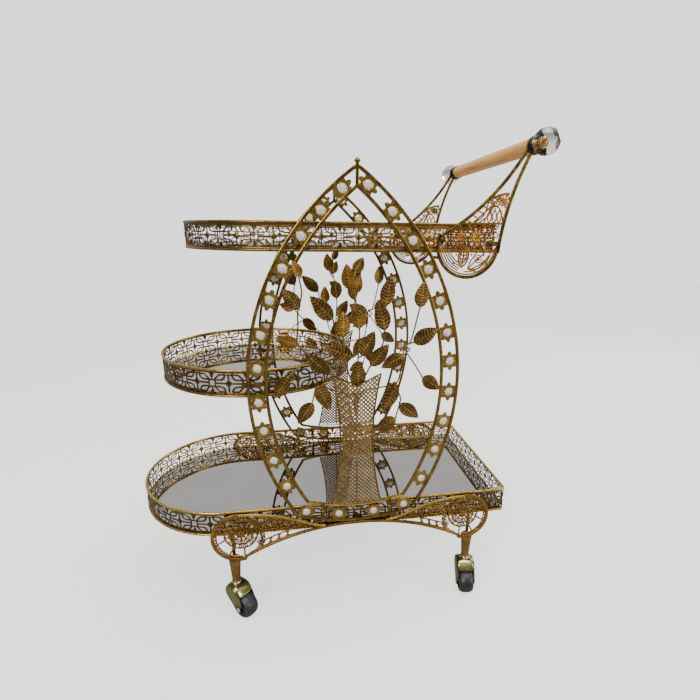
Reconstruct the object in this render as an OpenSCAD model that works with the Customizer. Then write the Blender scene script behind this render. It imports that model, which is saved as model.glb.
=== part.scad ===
/* [Overall] */
// Height of the pointed arch's widest line above the floor
arch_mid_z = 474; // [468:1:480]
// Distance along X from the trolley's centre to the arches' axis
arch_x = 58; // [50:1:62]

/* [Arch frames] */
// Half width of the arch at its widest, to the middle of the band
arch_half_w = 174.5; // [172:0.5:177]
// Radius of the band's middle line above the widest point
arch_r_up = 430; // [425:1:435]
// Radius of the band's middle line below the widest point
arch_r_lo = 456; // [450:1:460]
// Half of the distance between the two bars of the band
band_half = 15.5; // [15:0.5:16]
// Half width of an arch bar
bar_hw = 3; // [2.6:0.1:3.2]
// Depth of an arch bar along Y
bar_d = 4.4; // [4:0.2:4.8]
// Radius of a glass stone
stone_r = 7.3; // [6.5:0.1:7.5]

/* [Trays] */
// Height of the bottom tray's rail, rims included
bottom_h = 52; // [48:1:54]
// Height of the lower face of the bottom tray
bottom_z = 182; // [182:0.5:184]
// X of the bottom tray's right end
bottom_right = 375; // [370:1:380]
// Height of the middle tray's rail, rims included
middle_h = 51; // [48:1:52]
// Height of the lower face of the middle tray
middle_z = 460; // [456:1:464]
// X of the centre of the round middle tray
middle_x = -124; // [-128:1:-120]
// Height of the top tray's rail, rims included
top_h = 48; // [47:1:49]
// Height of the lower face of the top tray
top_z = 707; // [706:1:708]
// X of the top tray's right end
top_right = 303; // [302:1:304]
// X of the centre of the top tray's round end
top_round = -58; // [-64:1:-52]
// Radius of the wires along the rails' edges
rim_r = 2.4; // [2:0.1:2.6]
// Thickness of the mirrors
mirror_t = 4; // [3:0.5:5]

/* [Vase and leaves] */
// Half width of the vase at its waist
vase_waist = 30.5; // [28:0.5:33]
// Width of a leaf
leaf_w = 27; // [22:1:30]
// Thickness of a leaf
leaf_t = 1.2; // [1:0.1:1.5]

/* [Aprons] */
// Distance from the arches' axis to the centre of an apron's round head
head_x = 227; // [224:1:230]
// Height of the centre of an apron's round head
head_z = 178; // [177:1:180]
// Radius of an apron's round head
head_r = 49; // [47:1:50]
// Half width of an apron bar
apron_hw = 2.8; // [2.2:0.1:3]

/* [Handle] */
// X of the handle's axis
handle_x = 353.5; // [351:0.5:354]
// Height of the handle's axis
handle_z = 878.5; // [876:0.5:880]
// Radius of the handle's wooden rod
rod_r = 13; // [12:0.5:14]
// Radius of a crystal knob
knob_r = 21.5; // [19:0.5:22]
// Distance between the centres of the two crystal knobs
knob_span = 450; // [446:1:454]

/* [Legs and casters] */
// Distance along X from the arches' axis to a leg
leg_dx = 240; // [236:1:242]
// Distance along Y from the middle to a leg
leg_y = 179; // [178:0.5:180]
// Radius of a wheel
wheel_r = 24; // [22:0.5:24]
// Half width of a wheel
wheel_hw = 14.5; // [12:0.5:15]
// Distance from the swivel's axis to the wheel's axle
trail = 22; // [20:0.5:23]
// Direction in which the front left wheel trails
turn_fl = -43; // [-180:1:180]
// Direction in which the front right wheel trails
turn_fr = -99; // [-180:1:180]
// Direction in which the back left wheel trails
turn_bl = -50; // [-180:1:180]
// Direction in which the back right wheel trails
turn_br = -85; // [-180:1:180]

/* [Hidden] */

half_depth = 187;                       // from the middle plane to the outer face of a tray rail
bottom_round = -188;                    // X of the centre of the bottom tray's round end
gold = [0.72, 0.53, 0.16];
gold_dark = [0.52, 0.38, 0.15];
gold_bright = [0.86, 0.70, 0.32];
bronze = [0.42, 0.31, 0.14];
frame_y = half_depth + bar_d / 2;       // middle plane of the arch frames
face_y = half_depth + bar_d;            // outer face of the arch frames
wire_c = half_depth - rim_r;            // distance of a rim wire's middle line
band_t = 1.2;                           // sheet thickness of the pierced rails
hole_r = 2.1;                           // clearance hole for a small bolt
up_c = arch_half_w - arch_r_up;         // centre of the upper arcs, from the axis
lo_c = arch_half_w - arch_r_lo;
smile_r_up = 343.5;                     // radius of the foot's upper bar
smile_r_lo = 353;                       // radius of the foot's lower bar
smile_z_up = 230;                       // lowest point of the foot's upper bar
smile_z_lo = 196;                       // lowest point of the foot's lower bar
foot_z_out = 214.5;                     // where the outer bar meets the foot's lower bar
foot_w_out = 113;
foot_z_in = 242;                        // where the inner bar meets the foot's upper bar
foot_w_in = 93.5;
apex_in = 335;                          // height of the inner bars' point above the arch's widest level
in_w = arch_half_w - band_half;
in_c = (in_w * in_w - apex_in * apex_in) / (2 * in_w);   // centre of the inner bars' upper curve
in_r = in_w - in_c;
apex_cut = 839.3;                       // flat top of the arch's point, under the finial
// Middle of the band at an angle, as a distance from the upper curve's centre
function band_mid(a) = let (d = up_c - in_c) (arch_r_up + band_half - d * cos(a) + sqrt(in_r * in_r - d * d * sin(a) * sin(a))) / 2;
// Places of the flower plates along the band: slope angles above and below the widest point
function band_places(ups, los) = concat(
  [for (a = ups) [up_c + band_mid(a) * cos(a), arch_mid_z + band_mid(a) * sin(a), a]],
  [for (a = los) [lo_c + arch_r_lo * cos(a), arch_mid_z + arch_r_lo * sin(a), a]]);
flowers_right = concat(band_places([50.94, 43.48, 35.84, 28.44, 20.64, 12.67, 5.47], [-2.32, -9.84, -17.4, -25.7]),
  [[95.5, 221.5, -75], [34.5, 213, -90]]);
flowers_left = concat(band_places([49.75, 43.4, 36.61, 28.64, 21.19, 13.05, 5.24], [-2.94, -9.74, -17.49, -24.95]),
  [[97.5, 222.5, -75], [34.5, 213, -90]]);
// Leaves of the bouquet, as [base x, base z, tip x, tip z] from the arches' axis
leaves = [[-98, 615, -124, 650], [-42, 597, -80, 637], [-94, 668, -106, 694], [-13, 647, -18, 689],
  [-4, 674, 8, 700], [-7, 640, 6, 671], [17, 601, -14, 622], [3, 580, 0, 625], [49, 619, 56, 669],
  [49, 576, 38, 630], [111, 615, 114, 660], [101, 553, 146, 576], [8, 531, 29, 576], [25, 512, 54, 553],
  [84, 530, 44, 508], [73, 477, 46, 424], [80, 438, 116, 408], [121, 487, 156, 464], [73, 409, 36, 388],
  [2, 474, 2, 522], [-102, 554, -138, 567], [-121, 497, -147, 462], [-80, 448, -108, 410],
  [-81, 530, -47, 497], [-8, 529, -54, 551], [-70, 478, -48, 434], [-25, 567, -24, 610]];
// Stems of the bouquet, as lines [x, z, x, z] from the arches' axis
stems = [[0, 420, 0, 470], [0, 440, 6, 470], [0, 430, 10, 462], [0, 440, -6, 470], [0, 430, -10, 465], [0, 420, -12, 455],
  [0, 470, 2, 530], [2, 530, 4, 580], [2, 530, 8, 531], [4, 580, 3, 582], [4, 580, -4, 640], [-4, 640, -7, 642],
  [-4, 640, -13, 648], [-4, 640, -4, 676], [4, 580, 17, 601], [6, 470, 25, 514], [25, 514, 46, 552], [46, 552, 49, 578],
  [46, 552, 49, 620], [10, 462, 73, 479], [73, 479, 81, 511], [81, 511, 85, 547], [85, 547, 94, 551],
  [94, 551, 100, 567], [100, 567, 111, 616], [85, 547, 101, 553], [81, 511, 84, 531], [85, 540, 102, 517],
  [102, 517, 121, 488], [73, 479, 81, 449], [81, 449, 80, 438], [80, 438, 73, 410], [-6, 470, -20, 520],
  [-20, 520, -25, 568], [-20, 520, -42, 598], [-20, 520, -8, 530], [-10, 465, -62, 517], [-62, 517, -81, 531],
  [-81, 531, -102, 555], [-102, 555, -100, 613], [-100, 613, -93, 640], [-93, 640, -97, 669],
  [-81, 531, -121, 498], [-12, 455, -70, 479], [-70, 479, -80, 449]];
straps = [[-181.5, 486]];              // straps that cross the band, with a bolt each
foot_bolts = [-66, 66];                                // bolts that cross the frame's foot
foot_bolt_z = 219.5;
lugs = [[289.5, 722.5], [203, 729]];                       // ears of a handle bracket

// ---------- small helpers ----------
module wedge(r, a0, a1) {
  n = ceil((a1 - a0) / 40);
  polygon(concat([[0, 0]], [for (i = [0:n]) let (a = a0 + (a1 - a0) * i / n) [r * cos(a), r * sin(a)]]));
}
module ring2d(c, r, hw, fn = 64) translate(c) difference() { circle(r + hw, $fn = fn); circle(r - hw, $fn = fn); }
module arc2d(c, r, hw, a0, a1, fn = 180) intersection() {
  ring2d(c, r, hw, fn);
  translate(c) wedge(r * 1.2 + 3 * hw, a0, a1);
}
module line2d(p, q, w) {
  l = norm(q - p);
  translate(p) rotate(atan2(q[1] - p[1], q[0] - p[0])) translate([0, -w / 2]) square([l, w]);
}
// Stands a flat drawing up in a plane parallel to XZ, from y0 to y1
module stand(y0, y1) translate([0, y1, 0]) rotate([90, 0, 0]) linear_extrude(height = y1 - y0) children();
module to_back() mirror([0, 1, 0]) children();
module both_sides() { children(); mirror([1, 0]) children(); }
module tray2d(xc, xr, w, rc) {
  translate([xc, 0]) circle(w, $fn = 180);
  translate([xc, -w]) square([xr - rc - xc, 2 * w]);
  translate([xr - rc - 1, -w + rc]) square([rc + 1, 2 * w - 2 * rc]);
  for (s = [-1, 1]) translate([xr - rc, s * (w - rc)]) circle(rc, $fn = 32);
}
module tube(p, q, r) {
  d = q - p;
  l = norm(d);
  translate(p) rotate([0, acos(d[2] / l), atan2(d[1], d[0])]) cylinder(h = l, r = r, $fn = 24);
}

// ---------- arch frames ----------
module outer_half2d() {
  a_out = acos(-up_c / (arch_r_up + band_half));
  b_out = asin((arch_mid_z - foot_z_out) / (arch_r_lo + band_half));
  arc2d([up_c, arch_mid_z], arch_r_up + band_half, bar_hw, -0.2, a_out + 0.2);
  arc2d([lo_c, arch_mid_z], arch_r_lo + band_half, bar_hw, -b_out, 0.2);
  arc2d([0, smile_z_lo + smile_r_lo], smile_r_lo, bar_hw, -90.3, -90 + asin(foot_w_out / smile_r_lo));
}
module inner_half2d() {
  a_in = acos(-in_c / in_r);
  b_in = asin((arch_mid_z - foot_z_in) / (arch_r_lo - band_half));
  arc2d([in_c, arch_mid_z], in_r, bar_hw, -0.2, a_in + 0.2);
  arc2d([lo_c, arch_mid_z], arch_r_lo - band_half, bar_hw, -b_in, 0.2);
  arc2d([0, smile_z_up + smile_r_up], smile_r_up, bar_hw, -90.3, -90 + asin(foot_w_in / smile_r_up));
}
function apex_z(r) = arch_mid_z + sqrt(r * r - up_c * up_c);
module inner2d() both_sides() inner_half2d();
module outer2d() difference() {
  union() {
    both_sides() outer_half2d();
    translate([-bar_hw, arch_mid_z + apex_in])
      square([2 * bar_hw, apex_z(arch_r_up + band_half) - arch_mid_z - apex_in]);
  }
  inner2d();
  translate([-20, apex_cut]) square([40, 20]);
}
module arch2d() { inner2d(); outer2d(); }
module arch_outer() color(gold) translate([arch_x, 0, 0]) stand(-face_y, -half_depth) outer2d();
module arch_inner() color(gold) translate([arch_x, 0, 0]) stand(-face_y, -half_depth) inner2d();
module front_arch_outer() arch_outer();
module front_arch_inner() arch_inner();
module back_arch_outer() to_back() arch_outer();
module back_arch_inner() to_back() arch_inner();

module star2d() {
  polygon([for (i = [0:15]) let (a = i * 22.5, r = (i % 2 == 1) ? 12.6 : (i % 8 == 4 ? 18.5 : (i % 8 == 0 ? 13.5 : 16.3)))
    [r * cos(a), r * sin(a)]]);
}
module flowers2d() {
  for (f = flowers_right) translate([f[0], f[1]]) rotate(f[2]) star2d();
  for (f = flowers_left) translate([-f[0], f[1]]) rotate(180 - f[2]) star2d();
}
module flower_holes2d() {
  for (f = flowers_right) translate([f[0], f[1]]) circle(5.1, $fn = 32);
  for (f = flowers_left) translate([-f[0], f[1]]) circle(5.1, $fn = 32);
}
module at_flowers() {
  for (f = flowers_right) translate([arch_x + f[0], 0, f[1]]) children();
  for (f = flowers_left) translate([arch_x - f[0], 0, f[1]]) children();
}
module flower_plates() color(gold_dark) translate([arch_x, 0, 0]) stand(-frame_y - 0.7, -frame_y + 0.7) difference() {
  flowers2d();
  flower_holes2d();
  arch2d();
}
module front_flower_plates() flower_plates();
module back_flower_plates() to_back() flower_plates();
module stone() rotate([90, 0, 0]) rotate_extrude($fn = 32)
  polygon([[0, -2.1], [4.5, -2.1], [stone_r - 0.3, -1.4], [stone_r, -0.72], [5, -0.72], [5, 0.72],
    [stone_r, 0.72], [stone_r, 1.4], [stone_r - 0.9, 3], [3.8, 4.6], [0, 5]]);
module stones() color([0.9, 0.86, 0.86, 0.6]) at_flowers() translate([0, -frame_y, 0]) stone();
module front_stones() stones();
module back_stones() to_back() stones();
module finial() color(gold_bright) translate([arch_x, -frame_y, apex_cut]) rotate_extrude($fn = 32)
  polygon([[0, 0], [3.2, 0], [3.4, 0.9], [2.4, 2.2], [5.2, 5.6], [5.2, 6.8], [2.4, 10], [1.2, 11], [0, 11.6]]);
module arch_finials() { finial(); to_back() finial(); }

// ---------- vase, stems and leaves ----------
vase_pts = [for (i = [0:12]) let (z = 232 + i * 22) [vase_waist + 0.0009 * pow(z - 375, 2), z]];
module vase2d(inset) {
  pts = [for (p = vase_pts) [p[0] - inset, p[1]]];
  difference() {
    polygon(concat(pts, [for (i = [12:-1:0]) [-pts[i][0], pts[i][1]]]));
    arch2d();
  }
}
module vase() color(gold_dark) translate([arch_x, 0, 0]) difference() {
  stand(-face_y - 3, -face_y + 3) vase2d(0);
  translate([0, 0, 4]) stand(-face_y - 1.8, -face_y + 4) vase2d(2.4);
  stand(-face_y - 0.2, -face_y + 2) stems2d();
}
module front_vase() vase();
module back_vase() to_back() vase();
module stems2d() {
  translate([-1.1, 236]) square([2.2, 184]);
  for (s = stems) stem_line2d(s);
}
module stem_line2d(s) {
  line2d([s[0], s[1]], [s[2], s[3]], 2.2);
  translate([s[0], s[1]]) circle(1.3, $fn = 20);
  translate([s[2], s[3]]) circle(1.3, $fn = 20);
}
module stem_bunch() color(bronze) translate([arch_x, 0, 0]) stand(-face_y - 0.2, -face_y + 2) stems2d();
module front_stems() stem_bunch();
module back_stems() to_back() stem_bunch();
// A leaf is the shape that two equal circles share
module leaf2d(p, q) {
  l = norm(q - p);
  r = (l * l + leaf_w * leaf_w) / (4 * leaf_w);
  translate(p) rotate(atan2(q[1] - p[1], q[0] - p[0])) intersection() {
    translate([l / 2, r - leaf_w / 2]) circle(r, $fn = 96);
    translate([l / 2, leaf_w / 2 - r]) circle(r, $fn = 96);
  }
}
module leaf_bunch() color(bronze) translate([arch_x, 0, 0]) difference() {
  stand(-face_y - 0.2 - leaf_t, -face_y - 0.2) for (l = leaves) leaf2d([l[0], l[1]], [l[2], l[3]]);
  stand(-face_y - 4, -face_y + 4) polygon(concat([for (p = vase_pts) [p[0] + 0.4, p[1]]],
    [for (i = [12:-1:0]) [-vase_pts[i][0] - 0.4, vase_pts[i][1]]]));
}
module front_leaves() leaf_bunch();
module back_leaves() to_back() leaf_bunch();

// ---------- trays ----------
module rim_path(xc, xr, z) {
  rc = 8;
  translate([xc, 0, z]) rotate([0, 0, 90]) rotate_extrude(angle = 180, $fn = 180) translate([wire_c, 0]) circle(rim_r, $fn = 24);
  for (s = [-1, 1]) {
    translate([xc, s * wire_c, z]) rotate([0, 90, 0]) cylinder(h = xr - rim_r - rc - xc, r = rim_r, $fn = 24);
    translate([xr - rim_r - rc, s * (wire_c - rc), z]) rotate([0, 0, s > 0 ? 0 : -90])
      rotate_extrude(angle = 90, $fn = 48) translate([rc, 0]) circle(rim_r, $fn = 24);
  }
  translate([xr - rim_r, -(wire_c - rc), z]) rotate([-90, 0, 0]) cylinder(h = 2 * (wire_c - rc), r = rim_r, $fn = 24);
}
module round_rim(xc, z) translate([xc, 0, z]) rotate_extrude($fn = 180) translate([wire_c, 0]) circle(rim_r, $fn = 24);
ledge_dz = 3;                    // underside of the ledge above the tray's lower face
ledge_t = 1.5;
module long_base(xc, xr, z, cross) color(gold) {
  union() {
    rim_path(xc, xr, z + rim_r);
    translate([0, 0, z + ledge_dz]) linear_extrude(height = ledge_t) difference() {
      tray2d(xc, xr - 3.2, half_depth - 3.2, 7.2);
      tray2d(xc, xr - 17, half_depth - 17, 4);
    }
    for (x = cross) translate([x - 8, -half_depth + 8, z + ledge_dz]) cube([16, 2 * half_depth - 16, ledge_t]);
  }
}
module round_base(xc, z) color(gold) {
  union() {
    round_rim(xc, z + rim_r);
    translate([xc, 0, z + ledge_dz]) linear_extrude(height = ledge_t) difference() {
      circle(half_depth - 3.2, $fn = 180);
      circle(half_depth - 17, $fn = 180);
    }
    for (a = [0, 90]) translate([xc, 0, z + ledge_dz]) rotate([0, 0, a])
      translate([-half_depth + 8, -8, 0]) cube([2 * half_depth - 16, 16, ledge_t]);
  }
}
module pane(w, h) rotate([90, 0, 0]) linear_extrude(height = 10, center = true)
  for (i = [-1, 1], j = [-1, 1]) polygon([[i * 1.4, j * 1.4], [i * (w / 2 - 1.7), j * 1.4], [i * 1.4, j * (h / 2 - 1.2)]]);
// Pierced rail of a long tray: a thin wall with a row of diamond openings, each with a cross in it
module long_gallery(xc, xr, z, h, panes) {
  w = wire_c + band_t / 2;
  hh = h - 4 * rim_r;
  zc = z + h / 2;
  color(gold_dark) translate([0, 0, 0]) difference() {
    translate([0, 0, z + 2 * rim_r]) linear_extrude(height = hh) difference() {
      tray2d(xc, xr - rim_r + band_t / 2, w, 8 + band_t / 2);
      tray2d(xc, xr - rim_r - band_t / 2, w - band_t, 8 - band_t / 2);
    }
    for (x = panes, s = [-1, 1]) translate([x, s * w, zc]) pane(34, 28);
    for (i = [-2:2]) translate([xr - rim_r, i * 66, zc]) rotate([0, 0, 90]) pane(34, 28);
    for (i = [0:8]) translate([xc, 0, zc]) rotate([0, 0, 90 + 10 + i * 20]) translate([w, 0, 0]) rotate([0, 0, 90]) pane(34, 28);
    for (f = foot_bolts, s = [-1, 1]) bolt_hole(arch_x + f, s, foot_bolt_z);
    for (t = straps, s = [-1, 1]) bolt_hole(arch_x + t[0], s, t[1]);
    for (l = lugs, s = [-1, 1]) bolt_hole(l[0], s, l[1]);
  }
}
module bolt_hole(x, s, z) translate([x, s * (wire_c - 6), z]) rotate([-90 * s, 0, 0]) cylinder(h = 14, r = hole_r, $fn = 24);
module round_gallery(xc, z, h) {
  w = wire_c + band_t / 2;
  color(gold_dark) difference() {
    translate([xc, 0, z + 2 * rim_r]) linear_extrude(height = h - 4 * rim_r) difference() {
      circle(w, $fn = 180);
      circle(w - band_t, $fn = 180);
    }
    for (i = [0:17]) translate([xc, 0, z + h / 2]) rotate([0, 0, i * 20]) translate([w, 0, 0]) rotate([0, 0, 90]) pane(34, 28);
    for (s = [-1, 1]) bolt_hole(arch_x + straps[0][0], s, straps[0][1]);
  }
}
module long_mirror(xc, xr, z) color([0.75, 0.76, 0.77]) translate([0, 0, z + ledge_dz + ledge_t]) linear_extrude(height = mirror_t)
  tray2d(xc, xr - 3.9, half_depth - 3.9, 6);
module bottom_base() long_base(bottom_round, bottom_right, bottom_z, [-150, 60, 270]);
module bottom_gallery() long_gallery(bottom_round, bottom_right, bottom_z, bottom_h, [-160, -100, -42, 28, 90, 156, 212, 262, 330]);
module bottom_top_rim() color(gold_bright) rim_path(bottom_round, bottom_right, bottom_z + bottom_h - rim_r);
module bottom_mirror() long_mirror(bottom_round, bottom_right, bottom_z);
module middle_base() round_base(middle_x, middle_z);
module middle_gallery() round_gallery(middle_x, middle_z, middle_h);
module middle_top_rim() color(gold_bright) round_rim(middle_x, middle_z + middle_h - rim_r);
module middle_mirror() color([0.75, 0.76, 0.77]) translate([middle_x, 0, middle_z + ledge_dz + ledge_t])
  cylinder(h = mirror_t, r = half_depth - 3.9, $fn = 180);
module top_base() long_base(top_round, top_right, top_z, [-40, 120, 250]);
module top_gallery() long_gallery(top_round, top_right, top_z, top_h, [12, 58, 104, 171, 244]);
module top_top_rim() color(gold_bright) rim_path(top_round, top_right, top_z + top_h - rim_r);
module top_mirror() long_mirror(top_round, top_right, top_z);
// Strips that cover the joint in each rail, on the inside of the back wall
module strip(x, y, z, h) translate([x - 4, y - 0.8, z + 2 * rim_r + 4.2]) cube([8, 0.8, h - 4 * rim_r - 4.2]);
module seam_strips() color(gold_bright) {
  strip(bottom_seam, wire_c - band_t / 2, bottom_z, bottom_h);
  strip(top_seam, wire_c - band_t / 2, top_z, top_h);
}
bottom_seam = 273;
top_seam = 268;

// ---------- straps and bolts ----------
module strap_plate(len, hole) stand(-face_y - 1.6, -face_y) difference() {
  union() {
    translate([-len / 2, -4]) square([len, 8]);
    for (s = [-1, 1]) translate([s * len / 2, 0]) circle(4, $fn = 32);
  }
  circle(hole, $fn = 24);
}
function slope(t) = t[1] > arch_mid_z ? asin((t[1] - arch_mid_z) / arch_r_up) : -asin((arch_mid_z - t[1]) / arch_r_lo);
module strap_set() {
  for (t = straps) translate([arch_x + t[0], 0, t[1]]) rotate([0, t[0] > 0 ? -slope(t) : slope(t), 0]) strap_plate(31, hole_r);
  for (f = foot_bolts) translate([arch_x + f, 0, foot_bolt_z]) rotate([0, -90, 0]) strap_plate(30, hole_r);
}
module frame_straps() color(bronze) { strap_set(); to_back() strap_set(); }
// A small screw with a domed head outside and a nut inside the rail
module screw(x, z, head_y) translate([x, 0, z]) {
  translate([0, -head_y, 0]) rotate([-90, 0, 0]) cylinder(h = head_y - wire_c + band_t / 2 + 4.4, r = 2, $fn = 24);
  translate([0, -head_y - 2, 0]) rotate([-90, 0, 0]) cylinder(h = 2, r1 = 2.4, r2 = 3.8, $fn = 24);
  translate([0, -wire_c + band_t / 2, 0]) rotate([-90, 0, 0]) cylinder(h = 3, r = 3.8, $fn = 6);
}
module screw_set() {
  for (t = straps) screw(arch_x + t[0], t[1], face_y + 1.6);
  for (f = foot_bolts) screw(arch_x + f, foot_bolt_z, face_y + 1.6);
  for (l = lugs) screw(l[0], l[1], face_y);
}
module tray_bolts() color(bronze) { screw_set(); to_back() screw_set(); }

// ---------- aprons ----------
crown_z = 189;
crown_r = 453.9;
wing_r = 300;
wing_in_r = 130;
module apron_half2d() {
  arc2d([head_x, head_z], head_r, apron_hw + 0.8, -101, 92, 128);
  arc2d([0, crown_z - crown_r], crown_r, apron_hw, 90 - asin(218 / crown_r), 90.3);
  // upper wire: leaves the head's top and runs down to the crown
  wc = [head_x, head_z + head_r - wing_r];
  arc2d(wc, wing_r, 2.4, 90, 90 + 25);
  p = [wc[0] + (wing_r) * cos(115), wc[1] + wing_r * sin(115)];
  arc2d([p[0] + wing_in_r * cos(115), p[1] + wing_in_r * sin(115)], wing_in_r, 2.4, -65 - 18, -65);
}
module apron_outline2d() both_sides() apron_half2d();
module apron_frame() color(gold) translate([arch_x, 0, 0]) stand(-face_y, -half_depth) difference() {
  apron_outline2d();
  arch2d();
}
module front_apron_frame() apron_frame();
module back_apron_frame() to_back() apron_frame();
module apron_region2d() polygon([[66, 188], [76, 190], [90, 194], [100, 198.5], [125, 209], [160, 219], [195, 225], [head_x, 227],
  [head_x, 178], [214, 135], [180, 150], [140, 166], [100, 177], [66, 184]]);
module apron_lace2d() {
  difference() {
    union() {
      for (r = [40, 31, 20]) ring2d([head_x, head_z], r, 1.8);
      translate([head_x, head_z]) circle(9, $fn = 32);
      for (a = [0:45:315]) translate([head_x, head_z]) rotate(a) translate([8, -1.3]) square([head_r - 9, 2.6]);
      intersection() {
        difference() {
          apron_region2d();
          translate([head_x, head_z]) circle(head_r - 1, $fn = 96);
        }
        union() {
          for (i = [0:7]) translate([76 + i * 13, 140]) square([3, 90]);
          line2d([90, 188], [184, 188], 2.6);
        }
      }
    }
    apron_outline2d();
    arch2d();
  }
}
module apron_filigree() color(gold_dark) translate([arch_x, 0, 0]) stand(-frame_y - 0.8, -frame_y + 0.8) both_sides() apron_lace2d();
module front_apron_filigree() apron_filigree();
module back_apron_filigree() to_back() apron_filigree();

// ---------- legs and casters ----------
leg_foot = 73;
leg_top = 125.5;
module leg_at(sx, sy) color(gold) translate([arch_x + sx * leg_dx, sy * leg_y, 0]) difference() {
  union() {
    translate([0, 0, leg_foot]) cylinder(h = leg_top - leg_foot, r1 = 8.3, r2 = 12, $fn = 48);
    translate([-3.2, -1.5, leg_top - 8]) cube([6.4, 3, bottom_z + ledge_dz - leg_top + 8]);
  }
  translate([0, 0, leg_foot - 1]) cylinder(h = 35, r = 4.05, $fn = 32);
}
module front_left_leg() leg_at(-1, -1);
module front_right_leg() leg_at(1, -1);
module back_left_leg() leg_at(-1, 1);
module back_right_leg() leg_at(1, 1);
module caster_stem() {
  translate([0, 0, 61.5]) cylinder(h = 2.7, r = 6.5, $fn = 32);
  translate([0, 0, 61.5]) cylinder(h = 44, r = 4, $fn = 32);
  translate([0, 0, 68.3]) cylinder(h = leg_foot - 68.3, r1 = 9.2, r2 = 8.3, $fn = 48);
}
module caster_stems() color([0.72, 0.72, 0.7]) for (sx = [-1, 1], sy = [-1, 1])
  translate([arch_x + sx * leg_dx, sy * leg_y, 0]) caster_stem();
module at_caster(sx, sy, turn) translate([arch_x + sx * leg_dx, sy * leg_y, 0]) rotate([0, 0, turn]) children();
module fork() color([0.78, 0.72, 0.42]) difference() {
  translate([0, 19.5, 0]) rotate([90, 0, 0]) linear_extrude(height = 39)
    polygon([[-9, 68], [10, 68], [19, 62], [25, 51], [29, 34], [30, 24], [28, 17.5], [22, 15], [15.5, 17.5], [5, 30],
      [-10, 42], [-17, 50], [-17, 58], [-14, 64.5]]);
  translate([0, 16.2, 0]) rotate([90, 0, 0]) linear_extrude(height = 32.4)
    polygon([[-9, 64.5], [9, 64.5], [17, 59.5], [22, 50.4], [50, 50.4], [50, 0], [-40, 0], [-9.5, 40.5], [-14, 50], [-14, 60]]);
  for (s = [-1, 1]) translate([0, s * 19.5, 68]) rotate([45, 0, 0]) cube([60, 9, 9], center = true);
  translate([0, 0, 60]) cylinder(h = 20, r = 4.05, $fn = 32);
  translate([trail, 0, wheel_r]) rotate([90, 0, 0]) cylinder(h = 50, r = 3.02, center = true, $fn = 32);
}
module axle() color([0.72, 0.72, 0.7]) translate([trail, 0, wheel_r]) rotate([90, 0, 0]) {
  cylinder(h = 41, r = 3, center = true, $fn = 32);
  for (s = [-1, 1]) translate([0, 0, s * 20.4]) cylinder(h = 1.6, r = 4.8, center = true, $fn = 32);
}
module wheel() color([0.08, 0.08, 0.09]) translate([trail, 0, wheel_r]) rotate([90, 0, 0]) rotate_extrude($fn = 96)
  polygon([[3.06, -wheel_hw], [7, -wheel_hw], [8, -wheel_hw + 2], [17, -wheel_hw + 2], [18.5, -wheel_hw], [wheel_r - 2, -wheel_hw],
    [wheel_r - 0.6, -wheel_hw + 1.4], [wheel_r, -wheel_hw + 5], [wheel_r, wheel_hw - 5], [wheel_r - 0.6, wheel_hw - 1.4],
    [wheel_r - 2, wheel_hw], [18.5, wheel_hw], [17, wheel_hw - 2], [8, wheel_hw - 2], [7, wheel_hw], [3.06, wheel_hw]]);
module front_left_fork() at_caster(-1, -1, turn_fl) fork();
module front_right_fork() at_caster(1, -1, turn_fr) fork();
module back_left_fork() at_caster(-1, 1, turn_bl) fork();
module back_right_fork() at_caster(1, 1, turn_br) fork();
module front_left_axle() at_caster(-1, -1, turn_fl) axle();
module front_right_axle() at_caster(1, -1, turn_fr) axle();
module back_left_axle() at_caster(-1, 1, turn_bl) axle();
module back_right_axle() at_caster(1, 1, turn_br) axle();
module front_left_wheel() at_caster(-1, -1, turn_fl) wheel();
module front_right_wheel() at_caster(1, -1, turn_fr) wheel();
module back_left_wheel() at_caster(-1, 1, turn_bl) wheel();
module back_right_wheel() at_caster(1, 1, turn_br) wheel();

// ---------- handle ----------
bowl = [250, 720];
bowl_r = 54;
module bracket2d() difference() {
  union() {
    arc2d(bowl, bowl_r, 3, 160, 360, 128);
    arc2d([734, 677], 430, 3, 153, 176);
    arc2d([20, 1059], 372, 3.2, -61.2, -29.9);
    line2d([188, 700], [201, 698], 5);
    line2d(lugs[0], [303, lugs[0][1]], 8);
    translate([handle_x, handle_z]) circle(15, $fn = 48);
    for (l = lugs) translate(l) circle(6.5, $fn = 32);
  }
  translate([handle_x, handle_z]) circle(3.2, $fn = 32);
  for (l = lugs) translate(l) circle(hole_r, $fn = 24);
  translate([arch_x, 0]) arch2d();
}
module bracket() color(gold) stand(-face_y, -half_depth) bracket2d();
module front_bracket() bracket();
module back_bracket() to_back() bracket();
module bracket_region2d() {
  translate(bowl) circle(bowl_r, $fn = 96);
  polygon([[205, 738], [237, 759], [262, 779], [285, 797], [305, 806], [322, 806], [315, 770], [309, 740], [300, 716], [250, 716]]);
}
module bracket_lace2d() difference() {
  intersection() {
    bracket_region2d();
    union() {
      for (r = [bowl_r, 46, 34, 22]) ring2d(bowl, r, 1.5, 96);
      translate(bowl) circle(11, $fn = 48);
      for (a = [15:30:345]) translate(bowl) rotate(a) translate([10, -1.2]) square([120, 2.4]);
      arc2d([262, 778], 48, 1.5, 10, 60, 64);
      arc2d(bowl, 62, 1.5, 0, 120, 96);
      arc2d(bowl, 78, 1.5, 0, 100, 96);
      arc2d(bowl, 94, 1.5, 20, 90, 96);
    }
  }
  bracket2d();
  for (l = lugs) translate(l) circle(6.5, $fn = 32);
  translate([arch_x, 0]) arch2d();
}
module bracket_filigree() color(gold_dark) stand(-frame_y - 0.8, -frame_y + 0.8) bracket_lace2d();
module front_bracket_filigree() bracket_filigree();
module back_bracket_filigree() to_back() bracket_filigree();
module along_y(y0) translate([handle_x, y0, handle_z]) rotate([-90, 0, 0]) children();
rod_end = 172;                          // the wood stops short of the back bracket
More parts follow.
